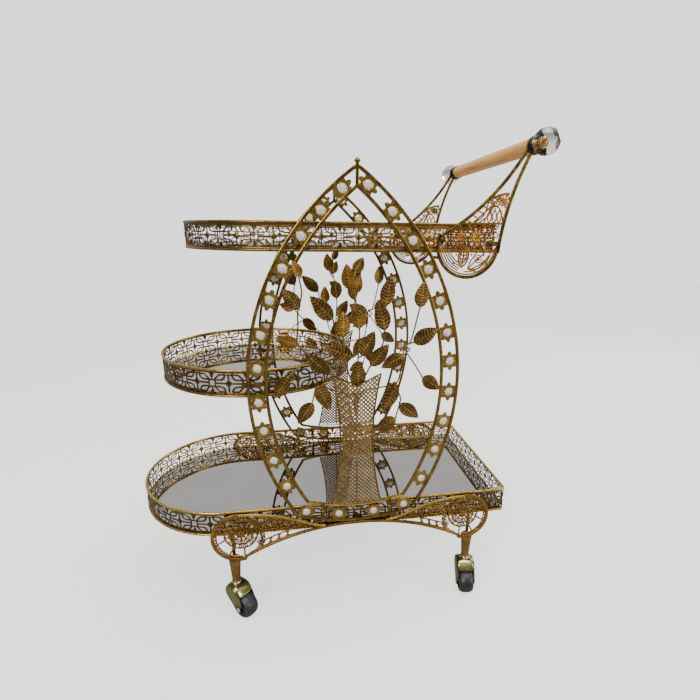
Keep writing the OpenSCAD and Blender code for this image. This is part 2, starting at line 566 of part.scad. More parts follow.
collar_t = 4.5;
near_collar_t = 3;
knob_y = knob_span / 2;
neck_y0 = knob_y - sqrt(knob_r * knob_r - 11 * 11);
// A turned piece on the handle's axis with a hole for the tie rod, from y0 to y1
module turned(y0, y1, ra, rb) along_y(y0) difference() {
  cylinder(h = y1 - y0, r1 = ra, r2 = rb, $fn = 64);
  translate([0, 0, -1]) cylinder(h = y1 - y0 + 2, r = 3.2, $fn = 24);
}
module handle_rod() color([0.78, 0.55, 0.31]) turned(-half_depth, rod_end, rod_r, rod_r);
module handle_tie_rod() color([0.6, 0.6, 0.6]) along_y(-knob_y + 7) cylinder(h = 2 * knob_y - 14, r = 3, $fn = 24);
module handle_collars() color([0.08, 0.07, 0.06]) {
  turned(-face_y - near_collar_t, -face_y, 13.4, 14.6);
  turned(rod_end, rod_end + collar_t, 14.4, 14.4);
}
module handle_necks() color([0.85, 0.87, 0.88, 0.6]) {
  turned(-neck_y0, -face_y - near_collar_t, 11, 13);
  turned(rod_end + collar_t, half_depth, 12.6, 12);
  turned(face_y, neck_y0, 13, 11);
}
module knob() difference() {
  translate([handle_x, -knob_y, handle_z]) sphere(knob_r, $fn = 64);
  translate([handle_x - 30, -neck_y0, handle_z - 30]) cube([60, 30, 60]);
  translate([handle_x, -knob_y + 7, handle_z]) rotate([-90, 0, 0]) cylinder(h = 40, r = 3.2, $fn = 24);
}
module handle_knobs() color([0.9, 0.92, 0.94, 0.5]) { knob(); to_back() knob(); }

front_arch_outer();
front_arch_inner();
back_arch_outer();
back_arch_inner();
front_flower_plates();
back_flower_plates();
front_stones();
back_stones();
arch_finials();
front_vase();
back_vase();
front_stems();
back_stems();
front_leaves();
back_leaves();
bottom_base();
bottom_gallery();
bottom_top_rim();
bottom_mirror();
middle_base();
middle_gallery();
middle_top_rim();
middle_mirror();
top_base();
top_gallery();
top_top_rim();
top_mirror();
seam_strips();
frame_straps();
tray_bolts();
front_apron_frame();
back_apron_frame();
front_apron_filigree();
back_apron_filigree();
front_left_leg();
front_right_leg();
back_left_leg();
back_right_leg();
caster_stems();
front_left_fork();
front_right_fork();
back_left_fork();
back_right_fork();
front_left_axle();
front_right_axle();
back_left_axle();
back_right_axle();
front_left_wheel();
front_right_wheel();
back_left_wheel();
back_right_wheel();
front_bracket();
back_bracket();
front_bracket_filigree();
back_bracket_filigree();
handle_rod();
handle_tie_rod();
handle_collars();
handle_necks();
handle_knobs();
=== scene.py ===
import math
import random

import bmesh
import bpy
import numpy as np
from mathutils import Matrix, Vector


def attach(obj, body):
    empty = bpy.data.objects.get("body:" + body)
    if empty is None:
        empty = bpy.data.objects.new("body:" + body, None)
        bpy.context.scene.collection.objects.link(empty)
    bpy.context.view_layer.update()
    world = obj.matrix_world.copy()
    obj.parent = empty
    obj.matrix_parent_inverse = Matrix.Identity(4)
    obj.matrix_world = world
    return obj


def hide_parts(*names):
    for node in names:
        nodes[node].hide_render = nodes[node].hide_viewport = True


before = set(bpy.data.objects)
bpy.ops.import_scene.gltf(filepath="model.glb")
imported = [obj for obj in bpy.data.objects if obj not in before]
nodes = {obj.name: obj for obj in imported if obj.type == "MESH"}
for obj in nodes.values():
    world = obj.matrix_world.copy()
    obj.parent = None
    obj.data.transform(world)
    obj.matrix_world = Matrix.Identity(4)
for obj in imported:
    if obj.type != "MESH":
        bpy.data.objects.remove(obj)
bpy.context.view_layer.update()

PI = math.pi
MM = 0.001

# ------------------------------------------------------------------ sizes, mm
AX = 58.0                      # the arches' axis
HALF = 187.0                   # inner face of the arch frames, outer face of the rails
FACE = 191.4                   # outer face of the arch frames
FY = 189.2                     # middle plane of the arch frames
WIRE = 184.6                   # middle line of the rim wires
UPC, RUP = 174.5 - 430.0, 430.0
LOC, RLO = 174.5 - 456.0, 456.0
ZW = 474.0
BAND = 15.5
INW = 174.5 - BAND
INC = (INW * INW - 335.0 * 335.0) / (2 * INW)
INR = INW - INC


# ------------------------------------------------------------------ mesh tools
class Geo:
    """Collects points, faces and material numbers, then makes one mesh object."""

    def __init__(self):
        self.v, self.f, self.m, self.a, self.n = [], [], [], [], 0

    def add(self, verts, faces, mat=0, attr=None):
        verts = np.asarray(verts, float).reshape(-1, 3)
        off = self.n
        self.v.append(verts)
        self.f.extend([tuple(int(i) + off for i in f) for f in faces])
        self.m.extend([mat] * len(faces))
        self.a.append(np.zeros(len(verts)) if attr is None else np.asarray(attr, float))
        self.n += len(verts)

    def merge(self, other, fn=None):
        if not other.n:
            return
        v = np.concatenate(other.v)
        if fn is not None:
            v = fn(v)
        off = self.n
        self.v.append(v)
        self.f.extend([tuple(i + off for i in f) for f in other.f])
        self.m.extend(other.m)
        self.a.extend(other.a)
        self.n += len(v)

    def build(self, name, body, mats, slot, replaces=(), smooth=35.0, ridge_highlight_shade=False):
        me = bpy.data.meshes.new(name)
        v = np.concatenate(self.v) * MM
        me.from_pydata([tuple(p) for p in v], [], self.f)
        for m in mats:
            me.materials.append(m)
        me.polygons.foreach_set("material_index", np.array(self.m, dtype=np.int32))
        bm = bmesh.new()
        bm.from_mesh(me)
        bmesh.ops.recalc_face_normals(bm, faces=bm.faces)
        lim = math.radians(smooth)
        for e in bm.edges:
            if len(e.link_faces) == 2:
                e.smooth = e.calc_face_angle(0.0) < lim
        bm.to_mesh(me)
        bm.free()
        me.polygons.foreach_set("use_smooth", [True] * len(me.polygons))
        # per-point ridge values, which the leaf metal turns into a painted highlight on ridges and painted shade in the
        # hollows
        if ridge_highlight_shade:
            at = me.attributes.new("ridge_highlight_shade", "FLOAT", "POINT")
            at.data.foreach_set("value", np.concatenate(self.a).astype(np.float32))
        me.update()
        ob = bpy.data.objects.new(name, me)
        bpy.context.scene.collection.objects.link(ob)
        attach(ob, body)
        if replaces:
            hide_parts(*replaces)
        return ob


def ell(a, b, n=8, ph=0.0):
    return np.array([[a * math.cos(ph + 2 * PI * i / n), b * math.sin(ph + 2 * PI * i / n)] for i in range(n)])


def rrect(a, b, r, k=2):
    """Rounded rectangle, half sizes a and b, corner radius r."""
    pts = []
    for cx, cy, s in ((a - r, b - r, 0), (-a + r, b - r, 90), (-a + r, -b + r, 180), (a - r, -b + r, 270)):
        for i in range(k + 1):
            t = math.radians(s + 90.0 * i / k)
            pts.append([cx + r * math.cos(t), cy + r * math.sin(t)])
    return np.array(pts)


def arc(c, r, a0, a1, n):
    t = np.radians(np.linspace(a0, a1, n + 1))
    return np.stack([c[0] + r * np.cos(t), c[1] + r * np.sin(t)], 1)


def joined(*paths):
    out = []
    for p in paths:
        for q in np.asarray(p, float):
            if not out or np.linalg.norm(q - out[-1]) > 1e-6:
                out.append(q)
    return np.array(out)


def spline(pts, n=8, closed=False):
    """Catmull-Rom curve through points of any dimension."""
    p = np.asarray(pts, float)
    m = len(p)
    out = []
    segs = m if closed else m - 1
    for i in range(segs):
        p0 = p[(i - 1) % m] if closed or i > 0 else 2 * p[0] - p[1]
        p1, p2 = p[i % m], p[(i + 1) % m]
        p3 = p[(i + 2) % m] if closed or i + 2 < m else 2 * p[-1] - p[-2]
        for j in range(n):
            t = j / n
            out.append(0.5 * (2 * p1 + (p2 - p0) * t + (2 * p0 - 5 * p1 + 4 * p2 - p3) * t * t + (3 * p1 - p0 - 3 * p2 + p3) * t ** 3))
    if not closed:
        out.append(p[-1])
    return np.array(out)


def loft(rings, closed=False, caps=True):
    """Joins equal rings of points with quads."""
    k = len(rings[0])
    v = np.concatenate(rings)
    n = len(rings)
    f = []
    for i in range(n if closed else n - 1):
        a, b = i * k, ((i + 1) % n) * k
        for j in range(k):
            j2 = (j + 1) % k
            f.append((a + j, a + j2, b + j2, b + j))
    if caps and not closed:
        f.append(tuple(range(k - 1, -1, -1)))
        f.append(tuple((n - 1) * k + j for j in range(k)))
    return v, f


def ribbon(path, prof, closed=False, taper=None, w0=0.0):
    """Sweeps a profile (side, depth) along a flat path; gives (u, v, w) points."""
    p = np.asarray(path, float)
    if closed and np.linalg.norm(p[0] - p[-1]) < 1e-6:
        p = p[:-1]
    n = len(p)
    d = (np.roll(p, -1, 0) - p) if closed else np.diff(p, axis=0)
    d = d / np.maximum(np.linalg.norm(d, axis=1, keepdims=True), 1e-9)
    rings = []
    for i in range(n):
        if closed:
            a, b = d[i - 1], d[i]
        else:
            a, b = d[max(i - 1, 0)], d[min(i, n - 2)]
        t = a + b
        t = t / max(np.linalg.norm(t), 1e-9)
        side = np.array([t[1], -t[0]])
        k = 1.0 / max(np.dot(side, np.array([a[1], -a[0]])), 0.5)
        s = 1.0 if taper is None else taper[i]
        q = prof * s
        rings.append(np.stack([p[i, 0] + side[0] * q[:, 0] * k, p[i, 1] + side[1] * q[:, 0] * k, q[:, 1] + w0], 1))
    return loft(rings, closed)


def plate(outline, t, bevel=0.35, w0=0.0):
    """Solid plate of an outline given counter-clockwise, with a small chamfer, star-shaped about its centre."""
    p = np.asarray(outline, float)
    n = len(p)
    q = inset(p, bevel)
    h = t / 2
    rings = [np.c_[q, np.full(n, w0 - h)], np.c_[p, np.full(n, w0 - h + bevel)], np.c_[p, np.full(n, w0 + h - bevel)], np.c_[q, np.full(n, w0 + h)]]
    v, f = loft(rings, caps=True)
    return v, f


def inset(p, d):
    n = len(p)
    area = 0.5 * sum(p[i, 0] * p[(i + 1) % n, 1] - p[(i + 1) % n, 0] * p[i, 1] for i in range(n))
    s = 1.0 if area > 0 else -1.0
    out = []
    for i in range(n):
        a = p[i] - p[i - 1]
        b = p[(i + 1) % n] - p[i]
        na = np.array([-a[1], a[0]]) / max(np.linalg.norm(a), 1e-9) * s
        nb = np.array([-b[1], b[0]]) / max(np.linalg.norm(b), 1e-9) * s
        m = na + nb
        k = np.dot(m, m)
        out.append(p[i] + (m / max(k, 0.25) * 2 * d if k > 1e-9 else na * d) * 1.0)
    return np.array(out)


def tube3(path, r, n=8, closed=False, taper=None, flat=1.0):
    """Round tube along a 3-D path."""
    p = np.asarray(path, float)
    m = len(p)
    d = (np.roll(p, -1, 0) - np.roll(p, 1, 0)) if closed else np.gradient(p, axis=0)
    d = d / np.maximum(np.linalg.norm(d, axis=1, keepdims=True), 1e-9)
    ref = np.array([0.0, 1.0, 0.0])
    if abs(np.dot(d[0], ref)) > 0.9:
        ref = np.array([0.0, 0.0, 1.0])
    side = np.cross(d[0], ref)
    side /= np.linalg.norm(side)
    rings = []
    for i in range(m):
        side = side - d[i] * np.dot(side, d[i])
        side /= max(np.linalg.norm(side), 1e-9)
        up = np.cross(side, d[i])
        s = 1.0 if taper is None else taper[i]
        rings.append(np.array([p[i] + s * r * (math.cos(2 * PI * j / n) * side + flat * math.sin(2 * PI * j / n) * up) for j in range(n)]))
    return loft(rings, closed)


def lathe(prof, origin, axis, n=48, x0=None):
    """Revolves (radius, height) points about an axis."""
    ax = np.array(axis, float)
    ax /= np.linalg.norm(ax)
    ref = np.array([0.0, 0.0, 1.0]) if abs(ax[2]) < 0.9 else np.array([1.0, 0.0, 0.0])
    e1 = np.cross(ref, ax)
    e1 /= np.linalg.norm(e1)
    e2 = np.cross(ax, e1)
    o = np.array(origin, float)
    v, idx = [], []
    for r, h in prof:
        if r < 1e-6:
            idx.append([len(v)])
            v.append(o + ax * h)
        else:
            idx.append(list(range(len(v), len(v) + n)))
            for j in range(n):
                t = 2 * PI * j / n
                v.append(o + ax * h + r * (math.cos(t) * e1 + math.sin(t) * e2))
    f = []
    for a, b in zip(idx[:-1], idx[1:]):
        for j in range(n):
            j2 = (j + 1) % n
            if len(a) == 1 and len(b) == 1:
                break
            if len(a) == 1:
                f.append((a[0], b[j], b[j2]))
            elif len(b) == 1:
                f.append((a[j], b[0], a[j2]))
            else:
                f.append((a[j], b[j], b[j2], a[j2]))
    if len(idx[0]) > 1:
        f.append(tuple(idx[0]))
    if len(idx[-1]) > 1:
        f.append(tuple(reversed(idx[-1])))
    return np.array(v), f


def lathe_closed(prof, origin, axis, n=48):
    """Revolves a closed (radius, height) outline, for rings."""
    v, f = lathe(prof, origin, axis, n)
    f = f[:-2]
    k = len(prof)
    for j in range(n):
        j2 = (j + 1) % n
        f.append(((k - 1) * n + j, j, j2, (k - 1) * n + j2))
    return v, f


def front(v, yc=FY):
    """(u, v, w) drawn flat to the front plane: u along X from the arches' axis, w outwards."""
    return np.stack([v[:, 0] + AX, -(yc + v[:, 2]), v[:, 1]], 1)


def back(v, yc=FY):
    return np.stack([v[:, 0] + AX, yc + v[:, 2], v[:, 1]], 1)


def mir_x(v):
    return np.stack([-v[:, 0], v[:, 1], v[:, 2]], 1)


def both(g2, geo, fn):
    """Adds a flat drawing and its mirror image in the arches' axis."""
    geo.merge(g2, fn)
    geo.merge(g2, lambda v: fn(mir_x(v)))


SIDES = (("front", front, -1.0), ("back", back, 1.0))


# ------------------------------------------------------------------ materials
def node_of(nt, kind, x=0, y=0, **sockets):
    n = nt.nodes.new(kind)
    n.location = (x, y)
    for k, val in sockets.items():
        n.inputs[k].default_value = val
    return n


def ramp(nt, stops, interp="LINEAR"):
    n = nt.nodes.new("ShaderNodeValToRGB")
    cr = n.color_ramp
    cr.interpolation = interp
    while len(cr.elements) > 1:
        cr.elements.remove(cr.elements[-1])
    cr.elements[0].position = stops[0][0]
    cr.elements[0].color = (*stops[0][1], 1.0)
    for pos, col in stops[1:]:
        e = cr.elements.new(pos)
        e.color = (*col, 1.0)
    return n


def new_mat(name):
    m = bpy.data.materials.new(name)
    m.use_nodes = True
    nt = m.node_tree
    return m, nt, nt.nodes["Principled BSDF"]


def metal(name, dark, mid, light, rough=(0.2, 0.42), scale=35.0, bump=0.08, fine=900.0, ridge_highlight_shade=False, stretch=(1, 1, 1), soft=0.0):
    """Lacquered metal: patches of darker and lighter tint, uneven gloss and a fine cast grain; with the ridge option, a
    painted highlight on raised veins, midribs and edges and painted shade in the hollows between them.
    """
    m, nt, b = new_mat(name)
    L = nt.links.new
    tc = node_of(nt, "ShaderNodeTexCoord", -1300, 0)
    mp = node_of(nt, "ShaderNodeMapping", -1150, 0)
    mp.inputs["Scale"].default_value = stretch
    L(tc.outputs["Object"], mp.inputs["Vector"])
    n1 = node_of(nt, "ShaderNodeTexNoise", -950, 200, Scale=scale, Detail=5.0, Roughness=0.6)
    n2 = node_of(nt, "ShaderNodeTexNoise", -950, -60, Scale=scale * 7.0, Detail=3.0, Roughness=0.55)
    n3 = node_of(nt, "ShaderNodeTexNoise", -950, -330, Scale=fine, Detail=2.0, Roughness=0.5)
    for n in (n1, n2, n3):
        L(mp.outputs["Vector"], n.inputs["Vector"])
    mix = nt.nodes.new("ShaderNodeMath")
    mix.operation = "MULTIPLY_ADD"
    mix.inputs[1].default_value = 0.45
    L(n2.outputs["Fac"], mix.inputs[0])
    half = nt.nodes.new("ShaderNodeMath")
    half.operation = "MULTIPLY"
    half.inputs[1].default_value = 0.62
    L(n1.outputs["Fac"], half.inputs[0])
    L(half.outputs[0], mix.inputs[2])
    src = mix.outputs[0]
    # painted highlight and shade: the mesh's ridge values lift the tint on raised parts, and everything else is pulled
    # darker
    if ridge_highlight_shade:
        at = nt.nodes.new("ShaderNodeAttribute")
        at.attribute_name = "ridge_highlight_shade"
        add = nt.nodes.new("ShaderNodeMath")
        add.operation = "MULTIPLY_ADD"
        add.inputs[1].default_value = 0.36
        sub = nt.nodes.new("ShaderNodeMath")
        sub.operation = "SUBTRACT"
        sub.inputs[1].default_value = 0.17
        L(src, sub.inputs[0])
        L(at.outputs["Fac"], add.inputs[0])
        L(sub.outputs[0], add.inputs[2])
        src = add.outputs[0]
    cr = ramp(nt, [(0.30 - soft, dark), (0.52, mid), (0.74 + soft, light)])
    L(src, cr.inputs["Fac"])
    L(cr.outputs["Color"], b.inputs["Base Color"])
    mr = nt.nodes.new("ShaderNodeMapRange")
    mr.inputs["From Min"].default_value = 0.35
    mr.inputs["From Max"].default_value = 0.65
    mr.inputs["To Min"].default_value = rough[0]
    mr.inputs["To Max"].default_value = rough[1]
    L(n2.outputs["Fac"], mr.inputs["Value"])
    L(mr.outputs["Result"], b.inputs["Roughness"])
    bp = node_of(nt, "ShaderNodeBump", -300, -300, Strength=bump, Distance=0.0006)
    L(n3.outputs["Fac"], bp.inputs["Height"])
    L(bp.outputs["Normal"], b.inputs["Normal"])
    b.inputs["Metallic"].default_value = 1.0
    return m


GOLD = metal("gold_frame", (0.070, 0.040, 0.010), (0.168, 0.102, 0.026), (0.42, 0.28, 0.078), (0.2, 0.4), scale=16, soft=0.12)
GOLD_APRON = metal("gold_apron", (0.10, 0.050, 0.012), (0.22, 0.120, 0.030), (0.46, 0.28, 0.075), (0.2, 0.4), scale=30, soft=0.08)
# lighter copy of the apron metal for the far apron: painted light on its inner faces, which lie in shade
GOLD_FAR_PAINTED_LIGHT = metal("gold_far_apron_painted_light", (0.18, 0.095, 0.024), (0.38, 0.22, 0.058), (0.66, 0.43, 0.13), (0.2, 0.4), scale=30, soft=0.08)
GOLD_PLATE = metal("gold_plate", (0.11, 0.066, 0.017), (0.24, 0.150, 0.042), (0.42, 0.29, 0.088), (0.26, 0.46), scale=60)
GOLD_COPPER = metal("gold_copper", (0.20, 0.085, 0.018), (0.38, 0.185, 0.045), (0.62, 0.36, 0.11), (0.22, 0.42), scale=60)
# lighter, glossier gold for thin bars, rims, claws, beads and clips: partly polished metal, partly a painted highlight
# along these thin parts
GOLD_BRIGHT_HIGHLIGHT = metal("gold_bright", (0.26, 0.165, 0.030), (0.46, 0.31, 0.065), (0.70, 0.52, 0.15), (0.16, 0.32), scale=25)
# the leaf metals carry a painted highlight on the ridges and painted shade in the hollows
GOLD_LEAF = metal("gold_leaf", (0.065, 0.036, 0.011), (0.17, 0.100, 0.030), (0.50, 0.33, 0.11), (0.28, 0.46), scale=40, ridge_highlight_shade=True)
GOLD_BUD = metal("gold_bud", (0.13, 0.062, 0.014), (0.28, 0.150, 0.034), (0.56, 0.35, 0.10), (0.24, 0.42), scale=40, ridge_highlight_shade=True)
GOLD_MESH = metal("gold_mesh", (0.10, 0.062, 0.023), (0.215, 0.140, 0.054), (0.37, 0.255, 0.108), (0.3, 0.5), scale=45)
GOLD_STEM = metal("gold_stem", (0.055, 0.034, 0.012), (0.14, 0.088, 0.030), (0.30, 0.20, 0.07), (0.26, 0.42), scale=60)
BROWN_STRAP = metal("gold_brown", (0.06, 0.03, 0.012), (0.14, 0.075, 0.028), (0.30, 0.17, 0.06), (0.24, 0.42), scale=70)
SILVER = metal("silver", (0.42, 0.41, 0.38), (0.62, 0.61, 0.58), (0.8, 0.79, 0.76), (0.1, 0.26), scale=50, bump=0.03)
GOLD_BASE = metal("gold_base", (0.20, 0.115, 0.028), (0.38, 0.245, 0.060), (0.62, 0.44, 0.13), (0.18, 0.34), scale=25)
GOLD_LEG = metal("gold_leg", (0.12, 0.062, 0.018), (0.24, 0.135, 0.042), (0.44, 0.27, 0.10), (0.24, 0.42), scale=40, soft=0.05)


def toned(m, axis, lo, hi, stops):
    """Tints a metal along one axis of the object."""
    nt = m.node_tree
    b = nt.nodes["Principled BSDF"]
    src = b.inputs["Base Color"].links[0].from_socket
    tc = nt.nodes.new("ShaderNodeTexCoord")
    sep = nt.nodes.new("ShaderNodeSeparateXYZ")
    nt.links.new(tc.outputs["Object"], sep.inputs[0])
    mr = nt.nodes.new("ShaderNodeMapRange")
    mr.inputs["From Min"].default_value = lo
    mr.inputs["From Max"].default_value = hi
    nt.links.new(sep.outputs[axis], mr.inputs["Value"])
    cr = ramp(nt, stops)
    nt.links.new(mr.outputs["Result"], cr.inputs["Fac"])
    mx = nt.nodes.new("ShaderNodeMix")
    mx.data_type = "RGBA"
    mx.blend_type = "MULTIPLY"
    mx.inputs["Factor"].default_value = 1.0
    nt.links.new(src, mx.inputs["A"])
    nt.links.new(cr.outputs["Color"], mx.inputs["B"])
    nt.links.new(mx.outputs["Result"], b.inputs["Base Color"])
    return m


# the top rail's tint is darker and cooler at the round end and a warm copper at the handle
GOLD_RAIL = toned(metal("gold_rail", (0.19, 0.098, 0.030), (0.40, 0.235, 0.078), (0.66, 0.44, 0.16), (0.24, 0.44), scale=24), "X", -0.20, 0.30,
                  [(0.0, (0.27, 0.30, 0.33)), (0.5, (0.46, 0.44, 0.40)), (1.0, (1.0, 0.84, 0.60))])
# painted light: the rail is made up to about 2.5 times lighter towards the back, for the far side's inner faces, which
# lie in shade
GOLD_RAIL = toned(GOLD_RAIL, "Y", -0.18, 0.18, [(0.0, (1.0, 1.0, 1.0)), (0.6, (1.0, 1.0, 1.0)), (1.0, (1.8, 2.1, 2.5))])
# the lower rails are painted darker at the front and lighter towards the back: painted shade on the near side and
# painted light on the far side's inner faces; the far apron also has a lighter copy of its metal
LOW_RAIL = toned(metal("gold_low_rail", (0.17, 0.090, 0.028), (0.38, 0.220, 0.068), (0.70, 0.47, 0.17), (0.24, 0.44), scale=30), "Y", -0.15, 0.18,
                 [(0.0, (0.24, 0.25, 0.28)), (0.5, (0.45, 0.45, 0.46)), (1.0, (1.0, 1.0, 1.0))])
STEEL = metal("steel", (0.24, 0.24, 0.24), (0.42, 0.42, 0.42), (0.6, 0.6, 0.6), (0.3, 0.5), scale=80)


def hood_mat(key, ox, oy, deg):
    """Polished brass with painted shade on the cheeks' rims and faces, standing in for the dark surroundings they
    reflect, and black at their lower ends.
    """
    m = metal(f"gold_hood_{key}", (0.20, 0.20, 0.075), (0.40, 0.39, 0.155), (0.66, 0.66, 0.30), (0.08, 0.2), scale=30, bump=0.03)
    nt = m.node_tree
    L = nt.links.new
    b = nt.nodes["Principled BSDF"]
    src = b.inputs["Base Color"].links[0].from_socket
    tc = nt.nodes.new("ShaderNodeTexCoord")
    sep = nt.nodes.new("ShaderNodeSeparateXYZ")
    L(tc.outputs["Object"], sep.inputs[0])
    ca, sa = math.cos(math.radians(deg)), math.sin(math.radians(deg))

    def scaled(sock, k, add):
        n = nt.nodes.new("ShaderNodeMath")
        n.operation = "MULTIPLY_ADD"
        n.inputs[1].default_value = k
        L(sock, n.inputs[0])
        if isinstance(add, float):
            n.inputs[2].default_value = add
        else:
            L(add, n.inputs[2])
        return n.outputs[0]

    across = scaled(sep.outputs["X"], -sa, scaled(sep.outputs["Y"], ca, (ox * sa - oy * ca) * MM))
    ab = nt.nodes.new("ShaderNodeMath")
    ab.operation = "ABSOLUTE"
    L(across, ab.inputs[0])
    # first ramp: painted shade across the cheeks, from about 12.5 to 18.5 mm out from the middle plane; second ramp:
    # black below about 28 to 35 mm height
    for sock, lo, hi, stops in ((ab.outputs[0], 0.0125, 0.0185, [(0.0, (1.0, 1.0, 1.0)), (0.7, (0.30, 0.34, 0.30)), (1.0, (0.46, 0.50, 0.46))]),
                                (sep.outputs["Z"], 0.028, 0.035, [(0.0, (0.035, 0.035, 0.04)), (1.0, (1.0, 1.0, 1.0))])):
        mr = nt.nodes.new("ShaderNodeMapRange")
        mr.inputs["From Min"].default_value = lo
        mr.inputs["From Max"].default_value = hi
        L(sock, mr.inputs["Value"])
        cr = ramp(nt, stops)
        L(mr.outputs["Result"], cr.inputs["Fac"])
        mx = nt.nodes.new("ShaderNodeMix")
        mx.data_type = "RGBA"
        mx.blend_type = "MULTIPLY"
        mx.inputs["Factor"].default_value = 1.0
        L(src, mx.inputs["A"])
        L(cr.outputs["Color"], mx.inputs["B"])
        src = mx.outputs["Result"]
    L(src, b.inputs["Base Color"])
    return m


def mirror_mat():
    m, nt, b = new_mat("mirror_glass")
    L = nt.links.new
    tc = node_of(nt, "ShaderNodeTexCoord")
    n = node_of(nt, "ShaderNodeTexNoise", Scale=9.0, Detail=4.0, Roughness=0.6)
    L(tc.outputs["Object"], n.inputs["Vector"])
    cr = ramp(nt, [(0.3, (0.385, 0.381, 0.355)), (0.7, (0.430, 0.425, 0.397))])
    L(n.outputs["Fac"], cr.inputs["Fac"])
    L(cr.outputs["Color"], b.inputs["Base Color"])
    mr = nt.nodes.new("ShaderNodeMapRange")
    mr.inputs["To Min"].default_value = 0.012
    mr.inputs["To Max"].default_value = 0.05
    L(n.outputs["Fac"], mr.inputs["Value"])
    L(mr.outputs["Result"], b.inputs["Roughness"])
    b.inputs["Metallic"].default_value = 1.0
    return m


def glass_mat(name, c0, c1, rough, ior=1.52):
    m, nt, b = new_mat(name)
    L = nt.links.new
    tc = node_of(nt, "ShaderNodeTexCoord")
    n = node_of(nt, "ShaderNodeTexNoise", Scale=160.0, Detail=3.0, Roughness=0.6)
    L(tc.outputs["Object"], n.inputs["Vector"])
    cr = ramp(nt, [(0.35, c0), (0.65, c1)])
    L(n.outputs["Fac"], cr.inputs["Fac"])
    L(cr.outputs["Color"], b.inputs["Base Color"])
    mr = nt.nodes.new("ShaderNodeMapRange")
    mr.inputs["To Min"].default_value = rough * 0.5
    mr.inputs["To Max"].default_value = rough * 1.5
    L(n.outputs["Fac"], mr.inputs["Value"])
    L(mr.outputs["Result"], b.inputs["Roughness"])
    b.inputs["Transmission Weight"].default_value = 1.0
    b.inputs["IOR"].default_value = ior
    return m


def stone_mat():
    """Foil-backed glass: milky white with clear depths and bright facets."""
    m = glass_mat("stone_glass", (0.90, 0.84, 0.84), (1.0, 0.97, 0.97), 0.05, 1.6)
    b = m.node_tree.nodes["Principled BSDF"]
    b.inputs["Transmission Weight"].default_value = 0.5
    b.inputs["Specular IOR Level"].default_value = 0.9
    return m


def foil_mat():
    """The pale foil behind the faceted stones."""
    m, nt, b = new_mat("stone_foil")
    L = nt.links.new
    tc = node_of(nt, "ShaderNodeTexCoord")
    n = node_of(nt, "ShaderNodeTexNoise", Scale=420.0, Detail=2.0, Roughness=0.6)
    L(tc.outputs["Object"], n.inputs["Vector"])
    cr = ramp(nt, [(0.3, (0.70, 0.58, 0.55)), (0.5, (0.92, 0.84, 0.82)), (0.7, (1.0, 0.97, 0.96))])
    L(n.outputs["Fac"], cr.inputs["Fac"])
    L(cr.outputs["Color"], b.inputs["Base Color"])
    mr = nt.nodes.new("ShaderNodeMapRange")
    mr.inputs["To Min"].default_value = 0.08
    mr.inputs["To Max"].default_value = 0.3
    L(n.outputs["Fac"], mr.inputs["Value"])
    L(mr.outputs["Result"], b.inputs["Roughness"])
    b.inputs["Metallic"].default_value = 0.65
    return m


def wood_mat():
    m, nt, b = new_mat("lacquered_wood")
    L = nt.links.new
    tc = node_of(nt, "ShaderNodeTexCoord")
    mp = node_of(nt, "ShaderNodeMapping")
    mp.inputs["Scale"].default_value = (90.0, 5.0, 90.0)
    L(tc.outputs["Object"], mp.inputs["Vector"])
    n = node_of(nt, "ShaderNodeTexNoise", Scale=1.6, Detail=8.0, Roughness=0.65, Distortion=0.6)
    L(mp.outputs["Vector"], n.inputs["Vector"])
    n2 = node_of(nt, "ShaderNodeTexNoise", Scale=7.0, Detail=2.0)
    L(tc.outputs["Object"], n2.inputs["Vector"])
    cr = ramp(nt, [(0.30, (0.48, 0.20, 0.034)), (0.48, (0.68, 0.335, 0.066)), (0.62, (0.78, 0.41, 0.092)), (0.8, (0.57, 0.255, 0.046))])
    L(n.outputs["Fac"], cr.inputs["Fac"])
    mx = nt.nodes.new("ShaderNodeMix")
    mx.data_type = "RGBA"
    mx.blend_type = "MULTIPLY"
    mx.inputs["Factor"].default_value = 0.35
    cr2 = ramp(nt, [(0.35, (0.80, 0.66, 0.55)), (0.65, (1.0, 0.95, 0.9))])
    L(n2.outputs["Fac"], cr2.inputs["Fac"])
    L(cr.outputs["Color"], mx.inputs["A"])
    L(cr2.outputs["Color"], mx.inputs["B"])
    L(mx.outputs["Result"], b.inputs["Base Color"])
    mr = nt.nodes.new("ShaderNodeMapRange")
    mr.inputs["To Min"].default_value = 0.28
    mr.inputs["To Max"].default_value = 0.46
    L(n.outputs["Fac"], mr.inputs["Value"])
    L(mr.outputs["Result"], b.inputs["Roughness"])
    bp = node_of(nt, "ShaderNodeBump", Strength=0.12, Distance=0.0005)
    L(n.outputs["Fac"], bp.inputs["Height"])
    L(bp.outputs["Normal"], b.inputs["Normal"])
    b.inputs["Coat Weight"].default_value = 0.12
    b.inputs["Coat Roughness"].default_value = 0.12
    return m


